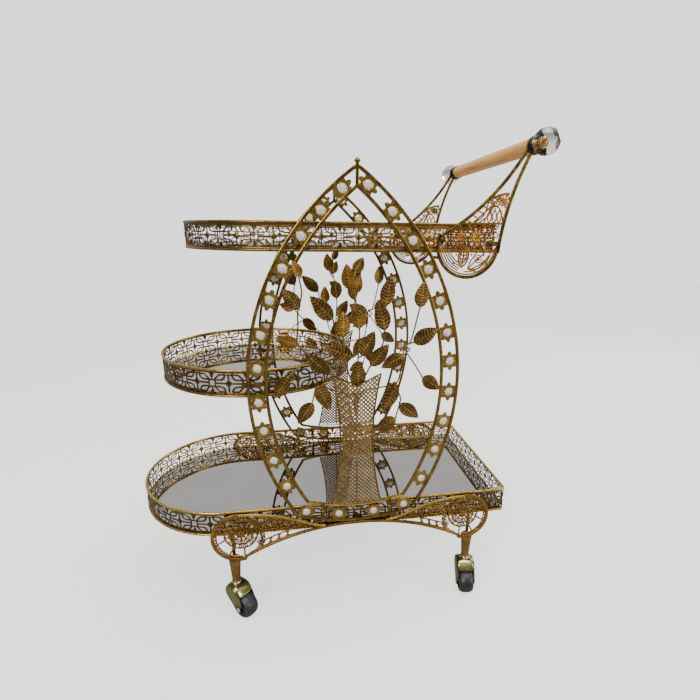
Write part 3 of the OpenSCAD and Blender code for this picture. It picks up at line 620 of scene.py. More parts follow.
def black_mat(name, c0, c1, rough, bump):
    m, nt, b = new_mat(name)
    L = nt.links.new
    tc = node_of(nt, "ShaderNodeTexCoord")
    n = node_of(nt, "ShaderNodeTexNoise", Scale=220.0, Detail=4.0, Roughness=0.6)
    n2 = node_of(nt, "ShaderNodeTexNoise", Scale=28.0, Detail=3.0, Roughness=0.55)
    L(tc.outputs["Object"], n.inputs["Vector"])
    L(tc.outputs["Object"], n2.inputs["Vector"])
    cr = ramp(nt, [(0.35, c0), (0.68, c1)])
    L(n2.outputs["Fac"], cr.inputs["Fac"])
    L(cr.outputs["Color"], b.inputs["Base Color"])
    mr = nt.nodes.new("ShaderNodeMapRange")
    mr.inputs["To Min"].default_value = rough[0]
    mr.inputs["To Max"].default_value = rough[1]
    L(n2.outputs["Fac"], mr.inputs["Value"])
    L(mr.outputs["Result"], b.inputs["Roughness"])
    bp = node_of(nt, "ShaderNodeBump", Strength=bump, Distance=0.0005)
    L(n.outputs["Fac"], bp.inputs["Height"])
    L(bp.outputs["Normal"], b.inputs["Normal"])
    return m


MIRROR = mirror_mat()
CRYSTAL = glass_mat("cut_crystal", (0.93, 0.95, 0.96), (1.0, 1.0, 1.0), 0.02)
STONE = stone_mat()
FOIL = foil_mat()
WOOD = wood_mat()
BLACK = black_mat("black_gloss", (0.006, 0.006, 0.006), (0.02, 0.018, 0.016), (0.12, 0.3), 0.05)
RUBBER = black_mat("wheel_black", (0.008, 0.009, 0.011), (0.026, 0.028, 0.032), (0.3, 0.5), 0.25)


def dress(node, mat):
    """Gives a carried-over CAD node its material."""
    me = nodes[node].data
    me.materials.clear()
    me.materials.append(mat)


# ------------------------------------------------------------------ arch frames
def arch_arc(c, r, a0, a1, n=40):
    return arc((c, ZW), r, a0, a1, n)


def z_of(r):
    return ZW + math.sqrt(r * r - UPC * UPC)


def arch_bar(sign):
    """Half of the outer (+1) or inner (-1) bar, from the point of the arch down to the foot."""
    ru, rl = (RUP + BAND if sign > 0 else INR), RLO + sign * BAND
    cu = UPC if sign > 0 else INC
    a_top = math.degrees(math.acos(-cu / ru))
    zf = 214.5 if sign > 0 else 242.0
    a_bot = math.degrees(math.asin((ZW - zf) / rl))
    return joined(arch_arc(cu, ru, a_top, 0, 60), arch_arc(LOC, rl, 0, -a_bot, 40))


def smile(z0, r, w, n=30):
    a = math.degrees(math.asin(w / r))
    return arc((0, z0 + r), r, -90 - a, -90 + a, n)


def half_round(hw, t, low=0.35):
    """Bar with a flat inner face, small chamfers and a crowned outer face."""
    return np.array([(-hw, -t + 0.5), (-hw + 0.5, -t), (hw - 0.5, -t), (hw, -t + 0.5), (hw, t * low), (hw * 0.88, t * 0.72), (hw * 0.58, t * 0.93),
                     (hw * 0.2, t), (-hw * 0.2, t), (-hw * 0.58, t * 0.93), (-hw * 0.88, t * 0.72), (-hw, t * low)])


BAR = half_round(3.0, 2.2)
for name, fn, sy in SIDES:
    for sign, part in ((1, "outer"), (-1, "inner")):
        g = Geo()
        half = arch_bar(sign)
        path = joined(half[::-1] * np.array([-1, 1]), half)
        if sign > 0:
            path = path[np.abs(path[:, 0]) > 0.5]
            left, right = path[path[:, 0] < 0], path[path[:, 0] > 0]
            path = joined(left, [(0.0, z_of(RUP + BAND) - 1.6)], right)
        v, f = ribbon(path, BAR)
        g.add(fn(v), f)
        z0, r, w = (196.0, 353.0, 112.5) if sign > 0 else (230.0, 343.5, 93.0)
        v, f = ribbon(smile(z0, r, w), half_round(3.0, 2.15))
        # the inner smile bar takes the lighter gold, which is partly a painted highlight along it
        g.add(fn(v), f, 0 if sign > 0 else 1)
        if sign > 0:
            v, f = ribbon([(0, ZW + 336.0), (0, z_of(RUP + BAND))], half_round(2.8, 2.1))
            g.add(fn(v), f)
        g.build(f"{name}_arch_{part}_bars", "trolley", [GOLD, GOLD_BRIGHT_HIGHLIGHT], "arch_metal", [f"{name}_arch_{part}"])

# ------------------------------------------------------------------ flowers
def band_mid(a):
    """Middle of the band at an angle, from the outer bar's centre."""
    d, t = UPC - INC, math.radians(a)
    return (RUP + BAND - d * math.cos(t) + math.sqrt(INR * INR - (d * math.sin(t)) ** 2)) / 2


def band_places(ups, los):
    out = [(UPC + band_mid(a) * math.cos(math.radians(a)), ZW + band_mid(a) * math.sin(math.radians(a)), a) for a in ups]
    return out + [(LOC + RLO * math.cos(math.radians(a)), ZW + RLO * math.sin(math.radians(a)), a) for a in los]


RIGHT_FLOWERS = band_places([50.94, 43.48, 35.84, 28.44, 20.64, 12.67, 5.47], [-2.32, -9.84, -17.4, -25.7]) + [(95.5, 221.5, -75.0), (34.5, 213.0, -90.0)]
LEFT_FLOWERS = band_places([49.75, 43.4, 36.61, 28.64, 21.19, 13.05, 5.24], [-2.94, -9.74, -17.49, -24.95]) + [(97.5, 222.5, -75.0), (34.5, 213.0, -90.0)]


def star_outline():
    """Eight rounded petals that fill the band: long along it, cut off by the two bars."""
    pts = []
    n = 128
    for i in range(n):
        a = 2 * PI * i / n
        k = (8 * i / n) % 8.0
        lobe = (0.5 + 0.5 * math.cos(8 * a)) ** 0.62
        tip = {0: 14.5, 1: 16.4, 2: 18.4, 3: 16.4, 4: 14.5, 5: 16.4, 6: 18.4, 7: 16.4}[int(round(k)) % 8]
        r = 12.7 + (tip - 12.7) * lobe
        x, y = r * math.cos(a), r * math.sin(a)
        if abs(x) > 12.9:
            y *= 12.9 / abs(x)
            x = math.copysign(12.9, x)
        pts.append((x, y))
    return np.array(pts)


def flower_geo():
    g = Geo()
    out = star_outline()
    n = len(out)
    ang = np.arctan2(out[:, 1], out[:, 0])
    rr = np.hypot(out[:, 0], out[:, 1])

    def ring(fr, w, hole=None):
        r = rr * fr if hole is None else np.full(n, hole)
        return np.stack([r * np.cos(ang), r * np.sin(ang), w * np.ones(n)], 1)
    crease = 0.45 * (0.5 + 0.5 * np.cos(8 * ang))
    top = [ring(1.0, 0.3), ring(0.965, 0.85), ring(0.90, 0.7), ring(0.80, 0.75 + crease), ring(0, 0.85, 8.9), ring(0, 0.85, 7.6)]
    bot = [np.c_[r[:, :2], -r[:, 2]] for r in reversed(top)]
    v, f = loft(top[::-1] + bot[::-1], closed=True)
    g.add(v, f)
    # claws' ring that holds the stone on each face, in the lighter gold that is partly a painted highlight
    for s in (1, -1):
        prof = [(7.4, s * 0.7), (8.6, s * 0.7), (8.4, s * 1.1), (8.0, s * 1.3), (7.5, s * 1.1)]
        if s < 0:
            prof = prof[::-1]
        v, f = lathe_closed(prof, (0, 0, 0), (0, 0, 1), 24)
        g.add(v, f, 1)
    # small beads on the petals
    for i in range(8):
        a = i * PI / 4
        r = {0: 10.8, 2: 14.6}.get(i % 4, 12.6)
        for w in (0.9, -0.9):
            v, f = lathe([(0, 1.0), (0.8, 0.7), (1.25, 0.0), (0, -0.1)], (r * math.cos(a), r * math.sin(a), w), (0, 0, 1 if w > 0 else -1), 8)
            g.add(v, f)
    return g


def stone_geo():
    """Round brilliant stone with flat facets, low at the back."""
    g = Geo()
    R, r1, r2 = 7.25, 5.5, 3.3
    for s, h2, h1, h0 in ((1, 4.9, 4.1, 1.7), (-1, 2.05, 1.8, 1.2)):
        t = [(r2 * math.cos(PI / 4 * i + PI / 8), r2 * math.sin(PI / 4 * i + PI / 8), s * h2) for i in range(8)]
        c = [(r1 * math.cos(PI / 4 * i), r1 * math.sin(PI / 4 * i), s * h1) for i in range(8)]
        e = [(R * math.cos(PI / 8 * i), R * math.sin(PI / 8 * i), s * h0) for i in range(16)]
        e2 = [(R * math.cos(PI / 8 * i), R * math.sin(PI / 8 * i), s * 0.8) for i in range(16)]
        v = t + c + e + e2
        f = [tuple(range(8))]
        for i in range(8):
            i1 = (i + 1) % 8
            f.append((i, 8 + i1, i1))
            f.append((8 + i, 8 + i1, i))
            f.append((8 + i, 16 + 2 * i + 1, 8 + i1))
            f.append((8 + i, 16 + 2 * i, 16 + 2 * i + 1))
            f.append((8 + i1, 16 + 2 * i + 1, 16 + (2 * i + 2) % 16))
        for i in range(16):
            i1 = (i + 1) % 16
            f.append((16 + i, 32 + i, 32 + i1, 16 + i1))
        f.append(tuple(range(47, 31, -1)))
        g.add(v, f)
    return g


def foil_geo():
    """Faceted foil cup behind the stone: its wedges lean different ways and so glitter."""
    g = Geo()
    n = 8
    for s in (1, -1):
        v = [(0.0, 0.0, s * 0.1)]
        for i in range(2 * n):
            a = PI * i / n
            r, h = (6.9, 0.62) if i % 2 else (6.9, 0.25)
            v.append((r * math.cos(a), r * math.sin(a), s * h))
        f = [(0, 1 + i, 1 + (i + 1) % (2 * n)) for i in range(2 * n)]
        base = len(v)
        v += [(6.9 * math.cos(PI * i / n), 6.9 * math.sin(PI * i / n), -s * 0.0) for i in range(2 * n)]
        f += [(1 + i, base + i, base + (i + 1) % (2 * n), 1 + (i + 1) % (2 * n)) for i in range(2 * n)]
        f.append(tuple(range(base, base + 2 * n)))
        g.add(v, f)
    return g


def placed(g2, cx, cz, a):
    """Moves a drawing to its place on the band and turns it to the band's slope."""
    c, s = math.cos(math.radians(a)), math.sin(math.radians(a))

    def fn(v):
        return np.stack([cx + v[:, 0] * c - v[:, 1] * s, cz + v[:, 0] * s + v[:, 1] * c, v[:, 2]], 1)
    g = Geo()
    g.merge(g2, fn)
    return g


FLOWER, STONE_G, FOIL_G = flower_geo(), stone_geo(), foil_geo()
for name, fn, sy in SIDES:
    gp, gs, gf = Geo(), Geo(), Geo()
    for src, dst in ((FLOWER, gp), (STONE_G, gs), (FOIL_G, gf)):
        for cx, cz, a in RIGHT_FLOWERS:
            dst.merge(placed(src, cx, cz, a), fn)
        for cx, cz, a in LEFT_FLOWERS:
            dst.merge(placed(src, cx, cz, a), lambda v: fn(mir_x(v)))
    gp.build(f"{name}_flowers", "trolley", [GOLD_PLATE, GOLD_BRIGHT_HIGHLIGHT], "lace_metal", [f"{name}_flower_plates"], smooth=28)
    gs.build(f"{name}_cut_stones", "trolley", [STONE], "stone_glass", [f"{name}_stones"], smooth=1)
    gf.build(f"{name}_stone_foils", "trolley", [FOIL], "stone_glass", smooth=1)

# ------------------------------------------------------------------ vases
def vase_w(z):
    return 30.5 + 0.0009 * (z - 375.0) ** 2


def vase_top(x):
    return 497.0 - 20.0 * (1.0 - min(abs(x) / 45.0, 1.0)) ** 1.1


def vase_bottom(x):
    return 230.0 + 343.5 - math.sqrt(343.5 ** 2 - x * x) + 8.0


def in_vase(x, z):
    return abs(x) < vase_w(z) - 1.0 and vase_bottom(x) < z < vase_top(x)


def bulge(x, z):
    w = vase_w(z)
    return 1.2 + 3.6 * max(0.0, 1.0 - (x / w) ** 2)


for name, fn, sy in SIDES:
    g = Geo()
    pitch = 8.0
    for d in (1, -1):
        for i in range(-16, 60):
            c = 225.0 + i * pitch
            run = []
            for k in range(-52, 53):
                x = k * 1.0
                z = c + d * x
                ok = in_vase(x, z)
                if ok:
                    wob = 0.42 * math.cos(2 * PI * x / pitch + (0 if d > 0 else PI) + i * PI)
                    run.append((x, z, bulge(x, z) + wob))
                if (not ok or k == 52) and run:
                    if len(run) > 3:
                        pts = [run[0]] + [p for p in run[1:-1] if abs(p[0] / 4.0 - round(p[0] / 4.0)) < 1e-6] + [run[-1]]
                        P = fn(np.array(pts), FACE)
                        v, f = tube3(P, 1.58, 6, flat=0.38)
                        g.add(v, f, 0)
                    run = []
    # edge bars, solid foot band, top wire and the seam wire across the body
    zs = np.linspace(236, 497, 40)
    for s in (1, -1):
        path = [(s * vase_w(z), z, 1.0) for z in zs]
        v, f = tube3(fn(np.array(path), FACE), 1.7, 8)
        g.add(v, f, 1)
    top = [(x, vase_top(x), bulge(x, vase_top(x)) + 0.2) for x in np.linspace(-44, 44, 45)]
    v, f = tube3(fn(np.array(top), FACE), 1.5, 8)
    g.add(v, f, 1)
    seam = [(x, 463.0, bulge(x, 463.0) + 0.3) for x in np.linspace(-37, 37, 30)]
    v, f = tube3(fn(np.array(seam), FACE), 0.8, 8)
    g.add(v, f, 1)
    foot = [(x, vase_bottom(x) - 3.2, bulge(x, 245.0) - 0.1) for x in np.linspace(-46.5, 46.5, 41)]
    v, f = tube3(fn(np.array(foot), FACE), 1.5, 8)
    g.add(v, f, 0)
    # return flanges that join the bulged sheet to the frame's plane
    for s in (1, -1):
        rings = []
        for z in np.linspace(238, 494, 30):
            x = s * (vase_w(z) - 0.2)
            rings.append(np.array([(x - 0.5, z, -2.6), (x + 0.5, z, -2.6), (x + 0.5, z, 1.0), (x - 0.5, z, 1.0)]))
        v, f = loft(rings)
        g.add(fn(v, FACE), f, 1)
    g.build(f"{name}_woven_vase", "trolley", [GOLD_MESH, GOLD_STEM], "lace_metal", [f"{name}_vase"])

# ------------------------------------------------------------------ leaves and stems
leaves = [(-98, 615, -124, 650), (-42, 597, -80, 637), (-94, 668, -106, 694), (-13, 647, -18, 689),
  (-4, 674, 8, 700), (-7, 640, 6, 671), (17, 601, -14, 622), (3, 580, 0, 625), (49, 619, 56, 669),
  (49, 576, 38, 630), (111, 615, 114, 660), (101, 553, 146, 576), (8, 531, 29, 576), (25, 512, 54, 553),
  (84, 530, 44, 508), (73, 477, 46, 424), (80, 438, 116, 408), (121, 487, 156, 464), (73, 409, 36, 388),
  (2, 474, 2, 522), (-102, 554, -138, 567), (-121, 497, -147, 462), (-80, 448, -108, 410),
  (-81, 530, -47, 497), (-8, 529, -54, 551), (-70, 478, -48, 434), (-25, 567, -24, 610)]
stems = [
  [(0, 240), (0, 420), (0, 470), (2, 530), (4, 580), (-4, 640), (-4, 676)],
  [(0, 440), (6, 470), (25, 514), (46, 552), (49, 578), (48, 600), (49, 620)],
  [(0, 425), (10, 462), (42, 470), (73, 479), (81, 511), (85, 547), (94, 551), (100, 567), (111, 616)],
  [(85, 546), (93, 550), (102, 553)], [(81, 505), (84, 518), (84, 531)], [(85, 540), (102, 517), (121, 488)],
  [(70, 478), (81, 449), (80, 438), (73, 410)], [(46, 552), (36, 530), (25, 513)],
  [(0, 440), (-6, 470), (-20, 520), (-25, 568)], [(-20, 520), (-34, 560), (-42, 598)], [(-20, 520), (-14, 524), (-8, 530)],
  [(0, 425), (-10, 465), (-38, 494), (-62, 517), (-81, 531), (-102, 555), (-101, 585), (-100, 613), (-93, 640), (-97, 669)],
  [(-78, 528), (-100, 515), (-121, 498)], [(0, 415), (-12, 455), (-42, 468), (-70, 479), (-80, 449)],
  [(4, 580), (12, 588), (17, 601)], [(-4, 640), (-7, 642)], [(-2, 630), (-9, 638), (-13, 648)], [(2, 528), (5, 529), (8, 531)],
  [(85, 548), (95, 540), (84, 530)], [(-100, 552), (-92, 542), (-81, 530)]]


def leaf_geo(p, q, side, seed, small=False):
    """Pressed leaf: pointed oval with a raised midrib, herringbone veins and a rolled edge."""
    rnd = random.Random(seed)
    p, q = np.array(p, float), np.array(q, float)
    L = np.linalg.norm(q - p)
    d = (q - p) / L
    n = np.array([-d[1], d[0]])
    W = min(15.2, 0.30 * L + 1.2) * rnd.uniform(0.93, 1.05)
    tilt = math.radians(rnd.uniform(-13, 13))
    lift = rnd.uniform(0.02, 0.12)
    curl = rnd.uniform(0.05, 0.14)
    sway = rnd.uniform(-0.06, 0.06)
    nu, nv = 60, 8
    veins = 9.0
    g = Geo()
    grid = {}
    V, A = [], []
    for layer in (1, -1):
        for i in range(nu + 1):
            u = i / nu
            # blunt base, widest before the middle, drawn-out tip
            wid = W * (math.sin(PI * min(u, 1.0) ** 0.82) ** 0.78) * (1.0 - 0.16 * u) if 0 < u < 1 else 0.0
            wid = max(wid, 0.5)
            for j in range(-nv, nv + 1):
                t = j / nv
                edge = 1.0 + (0.028 * math.cos(2 * PI * (u * veins * 1.0)) if abs(j) == nv else 0.0)
                s = t * wid * edge
                along = u * L
                # veins run from the midrib forwards to the edge
                ph = u * veins - abs(t) * 1.15 * wid / W
                wave = 0.5 + 0.5 * math.cos(2 * PI * ph)
                vein, thin = wave ** 1.8, wave ** 5
                rib = math.exp(-(s / 1.1) ** 2)
                env = min(1.0, abs(s) / 2.0) * (1 - abs(t) ** 6)
                h = 0.8 * vein * env + 0.9 * rib * (1 - u) ** 0.3 * (u > 0) + 0.45 * abs(t) ** 8
                cup = -curl * s * s / W * 0.9
                bend = lift * along - 0.0022 * along * (along - L * 0.4)
                w = layer * 0.42 + h + cup + bend + math.tan(tilt) * s
                pt = p + d * along + n * (s * math.cos(tilt) + sway * L * (u * u))
                V.append((pt[0], pt[1], 2.2 + max(w, -3.6)))
                # ridge value per point: high on the veins, the midrib and the rolled edge, low between them; the leaf
                # metal paints highlight and shade from it
                A.append(min(1.0, 0.85 * thin * env + 0.75 * rib + 0.55 * abs(t) ** 8) if layer == 1 else 0.25 + 0.4 * thin * env)
                grid[(layer, i, j)] = len(V) - 1
    F = []
    for layer in (1, -1):
        for i in range(nu):
            for j in range(-nv, nv):
                a, b, c, e = grid[(layer, i, j)], grid[(layer, i + 1, j)], grid[(layer, i + 1, j + 1)], grid[(layer, i, j + 1)]
                F.append((a, b, c, e) if layer > 0 else (a, e, c, b))
    for i in range(nu):
        for j in (-nv, nv):
            F.append((grid[(1, i, j)], grid[(1, i + 1, j)], grid[(-1, i + 1, j)], grid[(-1, i, j)]))
    for i in (0, nu):
        for j in range(-nv, nv):
            F.append((grid[(1, i, j)], grid[(1, i, j + 1)], grid[(-1, i, j + 1)], grid[(-1, i, j)]))
    g.add(V, F, 0, A)
    return g, p, d


for name, fn, sy in SIDES:
    g = Geo()
    gs = Geo()
    for k, lf in enumerate(leaves):
        lg, p, d = leaf_geo(lf[:2], lf[2:], name, 100 + k * 7 + (0 if sy < 0 else 1000))
        small = k in (3, 5, 7, 26, 20, 2)
        lg.m = [1 if small else 0] * len(lg.m)
        g.merge(lg, lambda v: fn(v, FACE))
        # the leaf's short stalk
        st = np.array([(p[0] - d[0] * 3, p[1] - d[1] * 3, 1.2), (p[0], p[1], 1.9), (p[0] + d[0] * 4, p[1] + d[1] * 4, 2.5)])
        v, f = tube3(fn(st, FACE), 1.15, 8)
        gs.add(v, f)
    g.build(f"{name}_pressed_leaves", "trolley", [GOLD_LEAF, GOLD_BUD], "leaf_metal", [f"{name}_leaves"], smooth=60, ridge_highlight_shade=True)
    for k, st in enumerate(stems):
        c = spline(st, 6)
        w = np.full(len(c), 0.9)
        ins = (c[:, 1] < 500) & (np.abs(c[:, 0]) < 46)
        w[ins] = -1.2
        w = np.convolve(np.r_[w[:1], w[:1], w, w[-1:], w[-1:]], np.ones(5) / 5, "valid")
        P = fn(np.c_[c, w], FACE)
        v, f = tube3(P, 1.45, 8)
        gs.add(v, f)
    gs.build(f"{name}_leaf_stems", "trolley", [GOLD_STEM], "leaf_metal", [f"{name}_stems"])

# ------------------------------------------------------------------ trays
class Rail:
    """Closed path of a tray's rail. s runs along +X on the front side, from the round end's start."""

    def __init__(self, xc, xr=None, rc=8.0):
        self.xc, self.xr, self.rc, self.R = xc, xr, rc, WIRE
        if xr is None:
            self.L = 2 * PI * self.R
        else:
            self.a = xr - 2.4 - rc - xc
            self.c = PI / 2 * rc
            self.b = 2 * (self.R - rc)
            self.L = 2 * self.a + 2 * self.c + self.b + PI * self.R

    def at(self, s):
        R, xc = self.R, self.xc
        if self.xr is None:
            t = s / R
            return (xc + R * math.cos(t), R * math.sin(t)), (math.cos(t), math.sin(t))
        s = s % self.L
        if s < self.a:
            return (xc + s, -R), (0.0, -1.0)
        s -= self.a
        cx = self.xr - 2.4 - self.rc
        if s < self.c:
            t = -PI / 2 + s / self.rc
            return (cx + self.rc * math.cos(t), -R + self.rc + self.rc * math.sin(t)), (math.cos(t), math.sin(t))
        s -= self.c
        if s < self.b:
            return (self.xr - 2.4, -R + self.rc + s), (1.0, 0.0)
        s -= self.b
        if s < self.c:
            t = s / self.rc
            return (cx + self.rc * math.cos(t), R - self.rc + self.rc * math.sin(t)), (math.cos(t), math.sin(t))
        s -= self.c
        if s < self.a:
            return (cx - s, R), (0.0, 1.0)
        s -= self.a
        t = PI / 2 + s / R
        return (xc + R * math.cos(t), R * math.sin(t)), (math.cos(t), math.sin(t))

    def wrap(self, v):
        out = np.empty_like(v)
        for i, (u, z, w) in enumerate(v):
            (x, y), (nx, ny) = self.at(u)
            out[i] = (x + nx * w, y + ny * w, z)
        return out


def unit_geo(H, lw=1.85):
    """One repeat of the cast rail, 62 wide: hollow-sided star, octagon, corner curves and spandrels."""
    g = Geo()
    k = H / 41.4
    prof = ell(lw, 0.95, 8)
    thin = ell(lw * 0.92, 0.9, 8)

    def line(path, pr=prof, forms=((1, 1), (-1, 1), (1, -1), (-1, -1))):
        p = np.asarray(path, float) * np.array([1.0, k])
        for a, b in forms:
            v, f = ribbon(p * np.array([a, b]), pr)
            g.add(v, f)

    # star
    st = []
    for q in range(4):
        for i in range(6):
            t = i / 6
            r = (7.2 if q % 2 == 0 else 7.4) * (1 - t) + (7.4 if q % 2 == 0 else 7.2) * t
            r *= 1 - 0.34 * math.sin(PI * t) ** 0.9
            an = math.radians(q * 90 + 90 * t)
            st.append((r * math.cos(an), r * math.sin(an) * k))
    st = np.array(st)
    n = len(st)
    rings = [np.c_[st * 0.9, np.full(n, -1.0)], np.c_[st, np.full(n, -0.6)], np.c_[st, np.full(n, 0.6)], np.c_[st * 0.86, np.full(n, 1.05)], np.c_[st * 0.30, np.full(n, 1.9)]]
    v, f = loft(rings)
    g.add(v, f)
    # stems up and down, bars to both sides
    line([(0, 6.8), (0, 15.6)], forms=((1, 1), (1, -1)))
    line([(6.6, 0), (25.2, 0)], forms=((1, 1), (-1, 1)))
    # octagon
    loop = [np.array(p) * (1, k) for p in ((17.3, 15), (24.9, 7.7), (24.9, -7.7), (17.3, -15), (-17.3, -15), (-24.9, -7.7), (-24.9, 7.7), (-17.3, 15))]
    v, f = ribbon(np.array(loop), thin, True)
    g.add(v, f)
    # corner curves that run on to the next unit
    line(spline([(7.2, 20.9), (7.2, 16.5), (7.0, 12.2), (9.4, 8.4), (13.4, 6.4), (17.5, 6.0), (24.0, 6.0), (31.0, 6.0)], 4))
    # solid spandrels where two units meet at the rims
    for a in (1, -1):
        for b in (1, -1):
            tri = [(25.2, 20.9), (26.6, 16.6), (29.0, 11.2), (30.1, 8.2), (31.0, 7.2), (31.0, 20.9)]
            tri = np.array(tri) * np.array([a, b * k])
            if a * b < 0:
                tri = tri[::-1]
            v, f = plate(tri[::-1], 1.5, 0.3)
            g.add(v, f)
    return g


def gallery(name, rail, z, h, centres, slot_nodes, mat, lw=1.85, bead=True):
    H = h - 9.6 + 1.0
    zc = z + h / 2
    g = Geo()
    unit = unit_geo(H, lw)
    U = np.concatenate(unit.v)
    cs = sorted(c % rail.L for c in centres)
    m = len(cs)
    for i, c in enumerate(cs):
        left = (c - cs[i - 1]) % rail.L / 2
        right = (cs[(i + 1) % m] - c) % rail.L / 2
        def fn(v, left=left, right=right, c=c):
            w = v.copy()
            w[:, 0] = np.where(v[:, 0] < 0, v[:, 0] * left / 31.0, v[:, 0] * right / 31.0) + c
            w[:, 1] = v[:, 1] + zc
            return rail.wrap(w)
        g.merge(unit, fn)
    # flat border strips along both edges of the band
    nseg = 220
    for zz, s in ((z + 4.7, 1), (z + h - 4.7, -1)):
        rings = []
        for i in range(nseg):
            (x, y), (nx, ny) = rail.at(rail.L * i / nseg)
            rings.append(np.array([(x + nx * w, y + ny * w, zz + s * dz) for w, dz in ((-0.8, -0.4), (0.8, -0.4), (1.0, 1.4), (0.4, 2.4), (-0.4, 2.4), (-1.0, 1.4))]))
        v, f = loft(rings, closed=True)
        g.add(v, f)
    # bead along the mirror's edge
    rings = []
    for i in range(300 if bead else 0):
        (x, y), (nx, ny) = rail.at(rail.L * i / 300)
        rings.append(np.array([(x + nx * (1.25 * math.cos(t) - 1.0), y + ny * (1.25 * math.cos(t) - 1.0), z + 10.0 + 1.25 * math.sin(t)) for t in [2 * PI * j / 8 for j in range(8)]]))
    if rings:
        v, f = loft(rings, closed=True)
        g.add(v, f, 1)
    return g.build(name, "trolley", [mat, GOLD_BRIGHT_HIGHLIGHT] if bead else [mat], "lace_metal", slot_nodes, smooth=40)


RB = Rail(-188.0, 375.0)
RM = Rail(-124.0)
RT = Rail(-58.0, 303.0)
nb = round(RB.L / 62.5)
gallery("bottom_cast_rail", RB, 182.0, 52.0, [-32.3 + RB.L / nb * i for i in range(nb)], ["bottom_gallery"], LOW_RAIL)
gallery("middle_cast_rail", RM, 460.0, 51.0, [math.radians(-102.7) * WIRE + RM.L / 19 * i for i in range(19)], ["middle_gallery"], LOW_RAIL)
pt = (RT.L - 15.6) / 27
gallery("top_cast_rail", RT, 707.0, 48.0, [58.0 + pt * i for i in range(26)] + [-18.6], ["top_gallery"], GOLD_RAIL, 1.25, False)


def rim_tube(rail, z, r, g, dz=0.0, dn=0.0, n=12, nseg=300):
    rings = []
    for i in range(nseg):
        (x, y), (nx, ny) = rail.at(rail.L * i / nseg)
        rings.append(np.array([(x + nx * (dn + r * math.cos(t)), y + ny * (dn + r * math.cos(t)), z + dz + r * math.sin(t)) for t in [2 * PI * j / n for j in range(n)]]))
    v, f = loft(rings, closed=True)
    g.add(v, f)


for name, rail, z, h in (("bottom", RB, 182.0, 52.0), ("middle", RM, 460.0, 51.0), ("top", RT, 707.0, 48.0)):
    g = Geo()
    rim_tube(rail, z + h - 2.4, 2.4, g, n=14, nseg=420)
    g.build(f"{name}_rim_wire", "trolley", [{"bottom": GOLD_BRIGHT_HIGHLIGHT, "middle": GOLD_BASE, "top": GOLD}[name]], "rim_metal", [f"{name}_top_rim"])
    dress(f"{name}_base", GOLD_BASE if name == "bottom" else GOLD)
    dress(f"{name}_mirror", MIRROR)
dress("seam_strips", GOLD_BRIGHT_HIGHLIGHT)
dress("frame_straps", BROWN_STRAP)
dress("tray_bolts", BROWN_STRAP)
dress("arch_finials", GOLD)

# ------------------------------------------------------------------ aprons
HX, HZ, HR = 227.0, 178.0, 49.0


def flower2(g, cx, cz, r, petals, w0, mat=0, w=1.0):
    """Small rosette: ring of rounded petals about a bead."""
    for i in range(petals):
        a = 2 * PI * i / petals
        rr = r * 0.62
        c = np.array([cx + rr * math.cos(a), cz + rr * math.sin(a)])
        pts = []
        for j in range(12):
            t = 2 * PI * j / 12
            dx, dz = r * 0.40 * math.cos(t), r * 0.25 * math.sin(t)
            pts.append((c[0] + dx * math.cos(a) - dz * math.sin(a), c[1] + dx * math.sin(a) + dz * math.cos(a)))
        pts = np.array(pts)
        q = pts * 0.45 + c * 0.55
        rings = [np.c_[pts, np.full(12, w0 - 0.8)], np.c_[pts, np.full(12, w0 + 0.3)], np.c_[q, np.full(12, w0 + 1.3 * w)]]
        v, f = loft(rings)
        g.add(v, f, mat)
    v, f = lathe([(0, 2.3 * w), (r * 0.14, 2.0 * w), (r * 0.24, 1.0), (r * 0.26, -0.8), (0, -0.8)], (cx, cz, w0), (0, 0, 1), 14)
    g.add(v, f, mat)


def scroll(g, c, r, a0, turns, prof, sgn=1, n=26, end=0.25):
    """Spiral that winds in to a bead."""
    pts = []
    for i in range(n + 1):
        t = i / n
        a = math.radians(a0) + sgn * 2 * PI * turns * t
        rr = r * (1 - (1 - end) * t)
        pts.append((c[0] + rr * math.cos(a), c[1] + rr * math.sin(a)))
    v, f = ribbon(pts, prof)
    g.add(v, f)
    v, f = lathe([(0, 1.7), (1.2, 1.3), (1.8, 0.2), (1.6, -0.9), (0, -0.9)], (pts[-1][0], pts[-1][1], 0), (0, 0, 1), 10)
    g.add(v, f)
    return np.array(pts)


def apron_frame_geo():
    g = Geo()
    v, f = ribbon(arc((HX, HZ), HR, -101, 92, 72), rrect(3.5, 2.2, 1.1, 3))
    g.add(v, f)
    v, f = lathe([(0, 2.2), (2.6, 1.9), (3.6, 1.0), (3.6, -1.4), (2.8, -2.2), (0, -2.2)], (HX + HR * math.cos(math.radians(-101)), HZ + HR * math.sin(math.radians(-101)), 0), (0, 0, 1), 20)
    g.add(v, f)
    wc = (HX, HZ + HR - 300.0)
    p = (wc[0] + 300 * math.cos(math.radians(115)), wc[1] + 300 * math.sin(math.radians(115)))
    c2 = (p[0] + 130 * math.cos(math.radians(115)), p[1] + 130 * math.sin(math.radians(115)))
    v, f = ribbon(joined(arc(wc, 300, 90, 115, 24), arc(c2, 130, -65, -83, 12)), rrect(2.3, 2.2, 1.0, 3))
    g.add(v, f, 1)
    return g


def crown(w):
    return 189.0 - 453.9 + math.sqrt(453.9 ** 2 - w * w)


def wing(w):
    if w > 100.2:
        return HZ + HR - 300 + math.sqrt(300 ** 2 - (HX - w) ** 2)
    return 316.7 - math.sqrt(max(130 ** 2 - (w - 45.3) ** 2, 1.0))


def ring_at(g, x, z, r, tube=1.15, n=14, mat=0):
    v, f = lathe_closed([(r + tube * math.cos(t), 0.85 * tube * math.sin(t)) for t in [2 * PI * j / 6 for j in range(6)]], (x, z, 0), (0, 0, 1), n)
    g.add(v, f, mat)


